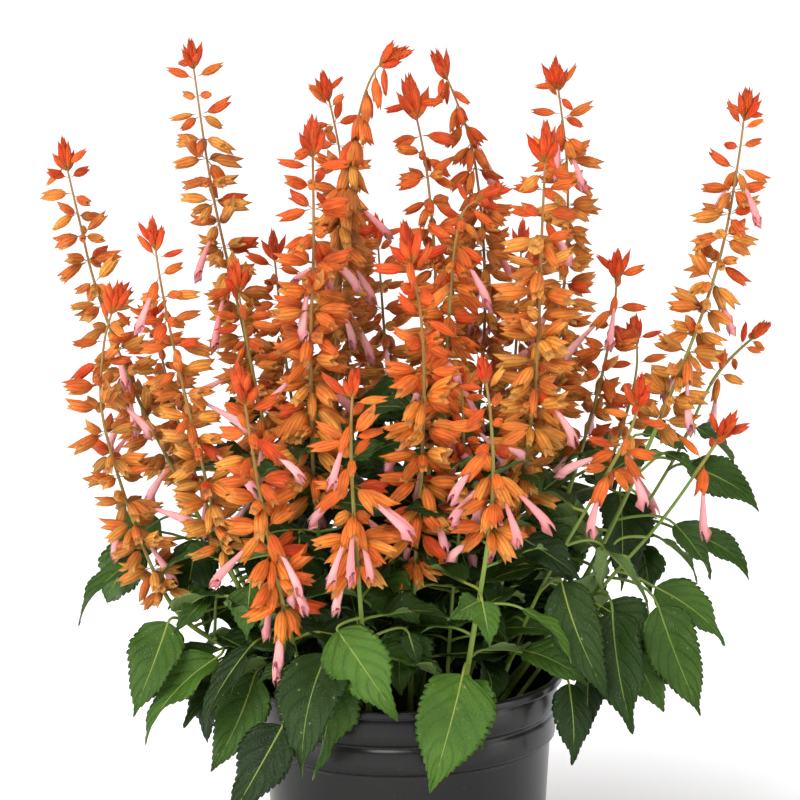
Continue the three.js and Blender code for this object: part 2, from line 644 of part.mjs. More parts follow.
// Place one leaf by the first size, stem and shift that leave it clear; true when it is placed.
function placeLeaf(leaf, k) {
  const hosts = nearestStems(leaf)
  for (const size of LEAF_SIZES) {
    for (const host of hosts) {
      for (const [turn, rise] of LEAF_TRIES) {
        const base = shifted(leaf.base, host.at, turn, rise)
        const tip = mix(base, shifted(leaf.tip, host.at, turn, rise), size)
        const width = leaf.width * size
        if (!isClear(leafSolid(host.at, base, tip, width, leaf.face, k, true))) continue
        if (!isClear(stalkSolid(host.at, base, tip, leaf.face), host.n)) continue
        const solid = leafSolid(host.at, base, tip, width, leaf.face, k)
        shoots[host.n] = shoots[host.n].add(solid)
        around.push({ solid, box: solid.boundingBox() })
        return true
      }
    }
  }
  return false
}
leafList().forEach(placeLeaf)

// A named mesh from a solid, with the colour and finish of its part.
function named(solid, name, color, roughness) {
  const mesh = solid.getMesh()
  const geometry = new THREE.BufferGeometry()
  geometry.setAttribute('position', new THREE.BufferAttribute(new Float32Array(mesh.vertProperties), 3))
  geometry.setIndex(new THREE.BufferAttribute(new Uint32Array(mesh.triVerts), 1))
  geometry.computeVertexNormals()
  const out = new THREE.Mesh(geometry, new THREE.MeshStandardMaterial({ color, roughness, metalness: 0 }))
  out.name = name
  return out
}

const two = n => String(n + 1).padStart(2, '0')
const plant = new THREE.Group()
plant.add(named(pot, 'pot', 0x32302f, 0.42))
plant.add(named(soil, 'soil', 0x2a1d14, 0.95))
shoots.forEach((solid, n) => plant.add(named(solid, `leafy_shoot_${two(n)}`, 0x39692a, 0.55)))
spikes.forEach((solid, n) => plant.add(named(solid, `flower_spike_${two(n)}`, 0xe8742c, 0.6)))

export default plant
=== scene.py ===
# Potted scarlet sage: a black nursery pot, soil, leafy shoots and flower spikes.
# Sizes are in millimetres in the tables and made metres where a mesh is written.
import math
import bmesh
import bpy
import numpy as np
from mathutils import Matrix, Vector


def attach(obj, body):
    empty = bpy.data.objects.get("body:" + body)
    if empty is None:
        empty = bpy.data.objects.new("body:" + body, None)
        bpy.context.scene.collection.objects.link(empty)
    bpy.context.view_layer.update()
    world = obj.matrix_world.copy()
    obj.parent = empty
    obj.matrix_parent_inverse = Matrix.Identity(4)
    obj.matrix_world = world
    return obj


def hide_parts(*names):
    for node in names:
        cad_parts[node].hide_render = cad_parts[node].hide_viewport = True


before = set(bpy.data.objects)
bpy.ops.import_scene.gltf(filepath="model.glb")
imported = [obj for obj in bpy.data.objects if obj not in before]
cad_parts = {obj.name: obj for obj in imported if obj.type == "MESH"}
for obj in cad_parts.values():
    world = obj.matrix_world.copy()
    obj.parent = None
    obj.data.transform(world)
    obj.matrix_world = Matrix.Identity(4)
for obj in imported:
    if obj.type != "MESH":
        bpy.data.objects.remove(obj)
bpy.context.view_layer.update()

# One row a shoot: points the stem runs through, length in flower, size of its calyces,
# how bronze they have turned, and how many blossoms are open.
shoots = [
    ([(-50, 16, 163), (-99, 20, 230), (-160, 30, 347), (-190, 40, 426), (-202, 40, 481), (-211, 38, 530)],
     232, 1, 0.5, 3),
    ([(-40, 40, 163), (-74, 45, 253), (-98, 48, 395), (-117, 50, 494), (-128, 44, 591)],
     300, 0.95, 0.55, 1),
    ([(-46, -24, 163), (-101, -50, 256), (-123, -68, 353), (-138, -75, 433), (-145, -75, 488)],
     222, 0.95, 0.35, 3),
    ([(-62, -10, 163), (-99, -20, 204), (-146, -28, 244), (-180, -35, 348), (-181, -32, 404),
      (-169, -20, 444)],
     205, 1, 0.6, 3),
    ([(-28, 4, 163), (-63, 4, 243), (-89, 8, 365), (-103, 12, 454)],
     150, 1.05, 0.3, 2),
    ([(-52, -48, 163), (-68, -84, 232), (-82, -108, 317), (-93, -120, 406)],
     158, 1.2, 0.1, 6),
    ([(-18, -20, 163), (-50, -30, 269), (-54, -42, 384), (-50, -48, 470), (-49, -50, 545)],
     245, 1.2, 0.3, 4),
    ([(-8, 62, 163), (-28, 85, 271), (-35, 98, 403), (-35, 98, 502), (-46, 90, 568)],
     240, 1, 0.45, 2),
    ([(-14, 30, 163), (-37, 30, 282), (-39, 28, 425), (-27, 24, 519), (-11, 20, 569), (12, 16, 578)],
     268, 1.05, 0.7, 3),
    ([(8, 36, 163), (13, 38, 253), (24, 44, 402), (21, 47, 495), (9, 50, 565)],
     245, 1.05, 0.35, 2),
    ([(28, 62, 163), (43, 80, 270), (57, 92, 402), (53, 95, 501), (37, 92, 556), (24, 90, 578)],
     275, 1, 0.55, 3),
    ([(2, -34, 163), (5, -52, 241), (13, -68, 344), (14, -78, 418), (4, -82, 483)],
     222, 1.25, 0.1, 5),
    ([(-22, -62, 163), (-26, -96, 253), (-29, -126, 349), (-26, -135, 404)],
     140, 1.2, 0, 6),
    ([(24, -36, 163), (29, -42, 238), (38, -48, 327), (37, -48, 394)],
     100, 0.9, 0.2, 3),
    ([(30, -54, 163), (38, -72, 211), (52, -104, 307), (53, -116, 363), (48, -120, 408)],
     122, 1.2, 0.05, 5),
    ([(32, 40, 163), (76, 60, 240), (103, 76, 377), (112, 80, 487), (104, 75, 573)],
     285, 1, 0.45, 3),
    ([(30, -12, 163), (65, -25, 266), (82, -44, 375), (87, -52, 467), (91, -56, 539)],
     255, 1.2, 0.3, 4),
    ([(8, 6, 163), (23, -4, 275), (31, -2, 408), (39, 0, 474), (53, 2, 489), (70, 6, 493)],
     165, 1.05, 0.25, 2),
    ([(46, 22, 163), (91, 25, 254), (125, 30, 357), (137, 30, 414), (140, 30, 454)],
     142, 1, 0.4, 2),
    ([(50, 40, 163), (108, 60, 236), (144, 90, 320), (158, 104, 365), (157, 110, 402)],
     104, 0.9, 0.5, 0),
    ([(50, -30, 163), (81, -46, 245), (120, -68, 320), (138, -84, 359), (144, -92, 392)],
     84, 1.1, 0.2, 2),
    ([(58, 4, 163), (118, 4, 252), (169, 6, 360), (199, 4, 441), (212, 2, 506), (218, 0, 555)],
     225, 1, 0.3, 4),
    ([(55, 22, 163), (126, 44, 238), (177, 60, 310), (207, 70, 365), (244, 82, 398)],
     58, 1, 0.3, 0),
    ([(62, -14, 163), (118, -16, 237), (161, -20, 287), (188, -24, 326), (207, -28, 356)],
     48, 1, 0.2, 0),
    ([(-30, 64, 163), (-52, 95, 256), (-73, 122, 347), (-84, 132, 461)],
     148, 1, 0.4, 2),
    ([(-54, 40, 163), (-103, 62, 230), (-140, 88, 313), (-168, 112, 422)],
     152, 0.95, 0.7, 1),
    ([(8, 58, 163), (-2, 125, 262), (-8, 155, 354), (-14, 175, 468)],
     160, 1, 0.8, 1),
    ([(40, 54, 163), (63, 125, 261), (78, 152, 353), (87, 176, 459)],
     155, 1, 0.8, 1),
]

# One row a leaf seen from the front: its base, its tip, its width, and how far its face looks forward.
leaves = [
    (-74, -110, 178, -107, -124, 124, 44, 0.5), (-157, -12, 275, -208, -20, 230, 40, 0.35),
    (-155, 18, 287, -191, 14, 259, 42, 0.5), (-149, -18, 264, -179, -26, 219, 48, 0.55),
    (-146, -45, 235, -169, -62, 180, 46, 0.6), (-124, -34, 239, -153, -44, 220, 26, 0.4),
    (-130, -20, 239, -158, -24, 231, 22, 0.1), (-116, -52, 214, -163, -66, 164, 44, 0.5),
    (-94, -66, 216, -126, -84, 166, 26, 0.1), (-93, -52, 203, -122, -66, 145, 46, 0.7),
    (-118, -34, 205, -125, -40, 155, 34, 0.5), (-48, -92, 226, -68, -122, 159, 50, 0.85),
    (-46, -84, 214, -57, -114, 154, 44, 0.85), (-40, -100, 233, -5, -122, 183, 42, 0.75),
    (0, -66, 232, -3, -84, 196, 42, 0.8), (2, -84, 235, 8, -92, 213, 14, 0.2),
    (-70, -62, 209, -91, -72, 203, 20, 0.4), (-66, -84, 232, -67, -92, 216, 16, 0.6),
    (34, -98, 212, 13, -124, 147, 52, 0.9), (39, -90, 206, 45, -112, 170, 34, 0.7),
    (44, -100, 257, 25, -110, 249, 18, 0.5), (46, -112, 260, 50, -122, 234, 20, 0.7),
    (74, -62, 286, 107, -76, 265, 34, 0.5), (122, -44, 278, 153, -56, 237, 24, 0.1),
    (140, 30, 297, 139, 12, 235, 54, 0.9), (155, 40, 259, 159, 30, 229, 38, 0.8),
    (172, 14, 279, 196, 8, 245, 34, 0.5), (187, 26, 268, 224, 22, 240, 26, 0.35),
    (167, 30, 265, 191, 26, 237, 24, -0.3), (158, -16, 244, 202, -26, 209, 38, 0.5),
    (157, -42, 238, 183, -54, 170, 46, 0.65), (127, -62, 240, 138, -80, 167, 52, 0.7),
    (125, -34, 237, 162, -46, 203, 44, 0.5), (140, -34, 212, 161, -44, 171, 38, 0.6),
    (96, -66, 260, 124, -86, 190, 42, 0.55), (71, -92, 250, 101, -106, 221, 22, 0),
    (73, -54, 215, 111, -76, 199, 34, 0.5), (101, -46, 191, 102, -54, 140, 32, 0.6),
    (116, -14, 192, 115, -18, 151, 28, 0.5), (186, 40, 311, 232, 34, 283, 36, 0.4),
    (194, 52, 311, 205, 50, 287, 26, -0.4), (193, 62, 332, 220, 60, 304, 34, 0.3),
    (169, 30, 313, 192, 26, 296, 18, 0.2), (155, 36, 325, 185, 34, 314, 26, 0.4),
    (132, -18, 265, 122, -24, 237, 30, -0.2), (137, -12, 228, 161, -14, 210, 22, 0.3),
    (22, -40, 254, 17, -58, 206, 46, 0.8), (-17, -60, 264, 10, -72, 237, 36, 0.6),
    (-117, -36, 268, -122, -46, 217, 42, 0.7), (-102, -50, 259, -106, -60, 227, 32, 0.6),
    (-94, -44, 237, -98, -56, 194, 40, 0.7), (-92, -28, 272, -88, -40, 232, 44, 0.8),
    (-64, -40, 272, -61, -50, 231, 42, 0.8), (-42, -30, 269, -51, -42, 239, 38, 0.7),
    (36, -10, 276, 47, -24, 236, 42, 0.8), (-32, 40, 293, -47, 30, 256, 44, 0.8),
    (-1, 55, 293, 3, 40, 253, 46, 0.8), (74, 10, 238, 90, 2, 207, 40, 0.7),
    (-140, 20, 260, -133, 14, 231, 36, 0.5), (43, 40, 252, 31, 30, 211, 44, 0.8),
    (103, 50, 275, 109, 42, 233, 42, 0.7),
]

# Leaves at the back and sides: angles from and to, count, radius and height of the bases, then of the tips.
backRings = [
    (48, 132, 5, (112, 214), (160, 168)),
    (25, 158, 8, (92, 252), (146, 214)),
    (35, 150, 6, (72, 292), (124, 262)),
]

# Turns about the stem and lifts that a leaf may have been given to keep it clear of its neighbours.
leafTries = [
    (0, 0), (0.14, 0), (-0.14, 0), (0, 8), (0, -8), (0.26, 5), (-0.26, 5), (0.26, -9), (-0.26, -9),
    (0.4, 12), (-0.4, 12), (0, 16), (0.6, -5), (-0.6, -5), (0, -16), (0.8, 10), (-0.8, 10),
]
leafSizes = (1, 0.8, 0.65)


# A repeatable draw between 0 and 1: the fraction of a large multiple of the sine.
def draw(n):
    x = math.sin(n * 12.9898) * 43758.5453
    return x - math.floor(x)


def unit(v):
    return v / np.maximum(np.linalg.norm(v, axis=-1, keepdims=True), 1e-9)


def dot(a, b):
    return (a * b).sum(axis=-1, keepdims=True)


# The part of one direction that is square to another, at unit length.
def squared(a, b):
    return unit(a - b * dot(a, b))


# Even angles round a circle.
def angles(sides):
    return 2 * math.pi * np.arange(sides) / sides


# Points round the upright axis.
def around(radius, angle, height):
    return np.stack(np.broadcast_arrays(radius * np.cos(angle), radius * np.sin(angle), height), -1)


# A smooth path through points: on each span a cubic blend of four points, sixteen samples long.
class Path:
    def __init__(self, points):
        p = np.array(points, float)
        p = np.vstack([2 * p[0] - p[1], p, 2 * p[-1] - p[-2]])
        t = (np.arange(16) / 16)[:, None]
        spans = []
        for a, b, c, d in zip(p, p[1:], p[2:], p[3:]):
            bend = (2 * a - 5 * b + 4 * c - d) * t ** 2 + (3 * b - 3 * c + d - a) * t ** 3
            spans.append(0.5 * (2 * b + (c - a) * t + bend))
        self.points = np.vstack(spans + [p[-2:-1]])
        steps = np.linalg.norm(np.diff(self.points, axis=0), axis=1)
        self.reach = np.concatenate([[0], np.cumsum(steps)])
        self.length = self.reach[-1]

    def at(self, s):
        return np.stack([np.interp(s, self.reach, self.points[:, k]) for k in range(3)], axis=-1)

    # Place, direction and two crosswise directions at distances along the path.
    def frame(self, s):
        s = np.asarray(s, float)
        along = unit(self.at(s + 1.5) - self.at(s - 1.5))
        side = unit(np.cross(np.array([0.0, 1.0, 0.0]), along))
        return self.at(s), along, side, np.cross(along, side)


# A growing set of closed shells that becomes one object. Every point carries two triples of numbers
# for the materials: place, where it is on its own shell, and mark, what its shell is like.
class Piece:
    def __init__(self, name):
        self.name, self.count, self.shells = name, 0, []

    def add(self, points, faces, place, mark, skin=0):
        mark = np.broadcast_to(mark, points.shape)
        self.shells.append((points, [f + self.count for f in faces], place, mark, skin))
        self.count += len(points)

    # Rings of points along a way, [ring, column], closed by a pole at each end.
    def tube(self, rings, ends, place, endPlace, mark, skin=0):
        r, c = rings.shape[:2]
        points = np.vstack([rings.reshape(-1, 3), ends])
        places = np.vstack([place.reshape(-1, 3), endPlace])
        self.add(points, tubeFaces(r, c), places, mark, skin)

    def make(self, skins, slot, *nodes):
        points = np.vstack([s[0] for s in self.shells]) * 0.001
        faces, skin = [], []
        for s in self.shells:
            for f in s[1]:
                faces += f.tolist()
            skin += np.broadcast_to(s[4], sum(map(len, s[1]))).tolist()
        mesh = bpy.data.meshes.new(self.name)
        mesh.from_pydata(points, [], faces)
        for key, k in (("place", 2), ("mark", 3)):
            values = np.vstack([s[k] for s in self.shells]).astype(np.float32)
            mesh.attributes.new(key, "FLOAT_VECTOR", "POINT").data.foreach_set("vector", values.ravel())
        mesh.polygons.foreach_set("material_index", skin)
        mesh.polygons.foreach_set("use_smooth", [True] * len(faces))
        for s in skins:
            mesh.materials.append(s)
        shape = bmesh.new()
        shape.from_mesh(mesh)
        bmesh.ops.recalc_face_normals(shape, faces=shape.faces)
        shape.to_mesh(mesh)
        shape.free()
        return self.place(mesh, slot, *nodes)

    def place(self, mesh, slot, *nodes):
        piece = bpy.data.objects.new(self.name, mesh)
        bpy.context.scene.collection.objects.link(piece)
        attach(piece, "root")
        if nodes:
            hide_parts(*nodes)
        return piece


# Faces of r rings of c points with a pole before the first and after the last.
def tubeFaces(r, c):
    ring, col = np.meshgrid(np.arange(r - 1), np.arange(c), indexing="ij")
    nxt = (col + 1) % c
    quads = np.stack([ring * c + col, ring * c + nxt, (ring + 1) * c + nxt, (ring + 1) * c + col], -1)
    i, j = np.arange(c), (np.arange(c) + 1) % c
    low = np.stack([j, i, np.full(c, r * c)], -1)
    high = np.stack([(r - 1) * c + i, (r - 1) * c + j, np.full(c, r * c + 1)], -1)
    return [quads.reshape(-1, 4), low, high]


# Shader sockets that can be used in plain sums.
class Wire:
    def __init__(self, sheet, socket):
        self.sheet, self.socket = sheet, socket

    def math(self, operation, *others):
        values = dict(enumerate((self,) + others))
        return self.sheet.node("ShaderNodeMath", {"operation": operation}, values)

    def __add__(self, other):
        return self.math("ADD", other)

    def __sub__(self, other):
        return self.math("SUBTRACT", other)

    def __rsub__(self, other):
        return self.sheet.node("ShaderNodeMath", {"operation": "SUBTRACT"}, {0: other, 1: self})

    def __mul__(self, other):
        return self.math("MULTIPLY", other)

    def __pow__(self, other):
        return self.math("POWER", other)

    __radd__ = __add__
    __rmul__ = __mul__


# The nodes of a new material, or those of a tree that is there already.
class Sheet:
    def __init__(self, name, tree=None):
        self.tree = tree
        if tree is None:
            self.material = bpy.data.materials.new(name)
            self.material.use_nodes = True
            self.tree = self.material.node_tree
            self.tree.nodes.clear()

    # Any node: its settings first, then the values or links of its sockets; gives one of its outputs.
    def node(self, kind, settings, values, output=0):
        made = self.tree.nodes.new(kind)
        for key, value in settings.items():
            if key == "stops":
                ramp = made.color_ramp
                while len(ramp.elements) < len(value):
                    ramp.elements.new(0.5)
                for element, (spot, color) in zip(ramp.elements, value):
                    element.position, element.color = spot, (*color, 1)
            else:
                setattr(made, key, value)
        for key, value in values.items():
            socket = made.inputs[key]
            if isinstance(value, Wire):
                self.tree.links.new(value.socket, socket)
            elif isinstance(value, tuple) and len(value) == 3 and socket.type == "RGBA":
                socket.default_value = (*value, 1)
            else:
                socket.default_value = value
        return Wire(self, made.outputs[output])

    # The three parts of an attribute carried by the mesh.
    def parts(self, name):
        whole = self.node("ShaderNodeAttribute", {"attribute_name": name}, {}, "Vector")
        return [self.node("ShaderNodeSeparateXYZ", {}, {0: whole}, k) for k in "XYZ"]

    def vector(self, x, y, z):
        return self.node("ShaderNodeCombineXYZ", {}, {0: x, 1: y, 2: z})

    def where(self):
        return self.node("ShaderNodeTexCoord", {}, {}, "Object")

    def noise(self, vector, scale, detail):
        values = {"Vector": vector, "Scale": scale, "Detail": detail}
        return self.node("ShaderNodeTexNoise", {}, values, "Fac")

    # Distance from the middle of the nearest of many scattered cells.
    def specks(self, vector, scale):
        return self.node("ShaderNodeTexVoronoi", {}, {"Vector": vector, "Scale": scale}, "Distance")

    def tint(self, factor, a, b, way="MIX"):
        settings = {"data_type": "RGBA", "blend_type": way}
        return self.node("ShaderNodeMix", settings, {0: factor, 6: a, 7: b}, 2)

    # Colours laid one over another, each with its share.
    def coats(self, color, *layers):
        for share, coat in layers:
            color = self.tint(share, color, coat)
        return color

    def ramp(self, factor, *stops):
        return self.node("ShaderNodeValToRGB", {"stops": stops}, {0: factor})

    # A soft step from 0 at low to 1 at high.
    def step(self, value, low, high):
        settings = {"interpolation_type": "SMOOTHSTEP"}
        return self.node("ShaderNodeMapRange", settings, {0: value, 1: low, 2: high, 3: 0.0, 4: 1.0})

    def bump(self, height, strength, distance):
        values = {"Height": height, "Strength": strength, "Distance": distance}
        return self.node("ShaderNodeBump", {}, values)

    def finish(self, values):
        skin = self.node("ShaderNodeBsdfPrincipled", {}, values)
        end = self.tree.nodes.new("ShaderNodeOutputMaterial")
        self.tree.links.new(skin.socket, end.inputs["Surface"])
        return self.material


# Flower spikes.
spikeLook = {
    "calyxLength": 21.5, "calyxRadius": 4.0, "calyxSideways": 0.8, "headLength": 25, "budRadius": 2.7,
    "whorlGaps": (8, 11, 13, 14.5, 15), "whorlGap": 15, "stalkRadius": 1.15,
    "blossomLength": 42, "blossomRadius": 2.75, "weeping": {8: 0.95, 9: 0.2, 10: 0.6, 17: 0.3},
    "headScale": {9: 1.3, 12: 0.7, 13: 0.8, 14: 0.72, 22: 0.85}, "redder": (9, 10, 11, 17, 5, 6),
    "rearmost": 24, "middleReach": 115, "frontLine": -60, "buds": 19,
    # The whorls, counted from the head, at which each group gains a calyx.
    "fuller": {"rear": (1, 2, 4), "middle": (2, 4, 6), "side": (3, 4, 9)},
}
goldenAngle = 2.39996

paths = [Path(row[0]) for row in shoots]
leafyLengths = [path.length - row[1] for path, row in zip(paths, shoots)]

# Calyx rings from pedicel to lips and a little way back inside. Each is how far along and how wide,
# by the angle from the top: 0, 45, 90, 135 and 180 degrees, the same on both sides.
gapingRings = [
    ((0.23,) * 5, (0.12,) * 5),
    ((0.28,) * 5, (0.42, 0.44, 0.46, 0.48, 0.48)),
    ((0.42,) * 5, (0.82, 0.84, 0.84, 0.88, 0.92)),
    ((0.62, 0.61, 0.57, 0.59, 0.60), (0.98, 1.00, 0.98, 1.02, 1.06)),
    ((0.84, 0.81, 0.70, 0.79, 0.78), (0.94, 0.90, 0.92, 0.96, 0.98)),
    ((1.07, 0.94, 0.78, 0.99, 0.88), (1.04, 0.72, 0.86, 1.02, 0.80)),
    ((1.01, 0.90, 0.75, 0.94, 0.85), (0.88, 0.60, 0.74, 0.86, 0.62)),
]
# The same rings on a young calyx, whose lips are still together in one point.
closedRings = [
    ((0.23,) * 5, (0.12,) * 5),
    ((0.29,) * 5, (0.40, 0.42, 0.42, 0.44, 0.44)),
    ((0.42,) * 5, (0.74, 0.76, 0.76, 0.78, 0.80)),
    ((0.60,) * 5, (0.86, 0.88, 0.86, 0.90, 0.92)),
    ((0.79, 0.79, 0.76, 0.78, 0.78), (0.68, 0.66, 0.66, 0.68, 0.70)),
    ((1.05, 0.95, 0.88, 0.99, 0.92), (0.26, 0.24, 0.30, 0.30, 0.24)),
    ((1.01, 0.92, 0.86, 0.96, 0.90), (0.16, 0.14, 0.18, 0.18, 0.14)),
]
# A blossom: a slim tube, a hood above, and a ragged lip turned down below.
blossomRings = [
    ((0.30,) * 5, (0.36,) * 5),
    ((0.45,) * 5, (0.50,) * 5),
    ((0.60,) * 5, (0.68, 0.68, 0.66, 0.66, 0.66)),
    ((0.74,) * 5, (0.92, 0.90, 0.84, 0.88, 0.90)),
    ((0.86, 0.86, 0.85, 0.84, 0.83), (1.06, 1.00, 0.92, 0.98, 1.00)),
    ((1.00, 0.97, 0.87, 0.92, 0.90), (0.90, 0.80, 1.10, 1.10, 1.30)),
    ((1.08, 0.92, 0.93, 1.08, 0.94), (0.30, 0.66, 1.50, 1.25, 2.10)),
    ((1.02, 0.89, 0.89, 1.01, 0.90), (0.34, 0.52, 1.15, 1.05, 1.70)),
]


# Ring tables opened out to eight columns.
def opened(rings):
    order = [0, 1, 2, 3, 4, 3, 2, 1]
    return np.array([r[0] for r in rings])[:, order], np.array([r[1] for r in rings])[:, order]


gapingShape = opened(gapingRings) + (0.0, 0.70)
closedShape = opened(closedRings) + (0.0, 0.84)
blossomShape = opened(blossomRings) + (0.2, 0.80)
budShape = (
    np.array([0.04, 0.22, 0.46, 0.68, 0.84])[:, None] * np.ones(6),
    np.array([0.3, 0.78, 1.0, 0.82, 0.3])[:, None] * np.ones(6), 0.0, 1.0,
)


# Many pods of one kind at once. On each, column c of ring r lies at along[r, c] of the pod's length on
# its axis, which sags with the square of the way along, and at spread[r, c] of its radius from the axis,
# at an even angle round it from the top. A second shape is blended in by its share on each pod.
def pods(piece, shape, at, out, up, length, radius, sideways, sag, mark, skin, second=None, share=0):
    along, spread, start, stop = shape
    r, c = along.shape
    many = len(at)
    if second:
        share = np.reshape(share, (many, 1, 1))
        blend = [a * (1 - share) + b * share for a, b in zip(shape[:2], second[:2])]
        stops = stop * (1 - share) + second[3] * share
    else:
        blend = [a[None] * np.ones((many, 1, 1)) for a in shape[:2]]
        stops = stop * np.ones((many, 1, 1))
    angle = angles(c)
    aside = np.cross(out, up)
    length, radius, sag = (np.broadcast_to(v, (many,)).reshape(-1, 1, 1, 1) for v in (length, radius, sag))
    grow = lambda v: v[:, None, None, :]
    way = blend[0][..., None]
    points = grow(at) + grow(out) * way * length - grow(up) * (sag * way ** 2 * length)
    points = points + grow(up) * (blend[1] * np.cos(angle))[..., None] * radius
    points = points + grow(aside) * (blend[1] * np.sin(angle))[..., None] * radius * sideways
    ends = np.concatenate([np.full((many, 1, 1), start), stops], axis=1)
    fall = up[:, None] * (sag[:, 0] * ends ** 2 * length[:, 0])
    poles = at[:, None] + out[:, None] * ends * length[:, 0] - fall
    total = r * c + 2
    inside = 0.3 * (np.arange(r) >= r - 1) * (shape is not budShape)
    place = around(1, angle[None], along + inside[:, None])
    last = stop + 0.9 * (shape is not budShape)
    place = np.vstack([place.reshape(-1, 3), [[0, 0, start], [0, 0, last]]])
    allPoints = np.concatenate([points.reshape(many, r * c, 3), poles], axis=1).reshape(-1, 3)
    offsets = (np.arange(many) * total)[:, None, None]
    faces = [(f[None] + offsets).reshape(-1, f.shape[1]) for f in tubeFaces(r, c)]
    marks = np.repeat(np.broadcast_to(mark, (many, 3)), total, axis=0)
    piece.add(allPoints, faces, np.tile(place, (many, 1)), marks, skin)


# A green or flowering stem: a tube along a path whose section bulges at four corners.
def stalk(piece, points, radius, mark, skin, sides=8, reference=(0.0, 1.0, 0.0), corners=0.1):
    along = unit(np.gradient(points, axis=0))
    side = unit(np.cross(np.array(reference), along))
    across = np.cross(along, side)
    angle = angles(sides) + math.pi / 4
    width = np.reshape(radius, (-1, 1)) * (1 + corners * np.cos(4 * angle - math.pi))[None]
    turn = side[:, None] * np.cos(angle)[None, :, None] + across[:, None] * np.sin(angle)[None, :, None]
    rings = points[:, None] + turn * width[..., None]
    reach = np.concatenate([[0], np.cumsum(np.linalg.norm(np.diff(points, axis=0), axis=1))])
    place = around(1, angle[None], reach[:, None] * 0.1)
    ends = np.array([points[0] - along[0] * radius[0] * 0.4, points[-1] + along[-1] * radius[-1]])
    piece.tube(rings, ends, place, [[0, 0, 0], [0, 0, reach[-1] * 0.1]], mark, skin)


# Directions of pods round a stem: outwards at an angle, tipped up or down, and pulled down a little.
def spread(along, side, across, angle, pitch, pull):
    angle, pitch = np.reshape(angle, (-1, 1)), np.reshape(pitch, (-1, 1))
    radial = side * np.cos(angle) + across * np.sin(angle)
    down = np.array([0, 0, 1.0]) * np.reshape(pull, (-1, 1))
    out = unit(radial * np.cos(pitch) + along * np.sin(pitch) - down)
    up = np.array([0, 0, 1.0]) + 0.3 * along - 0.2 * radial
    return out, squared(up, out)


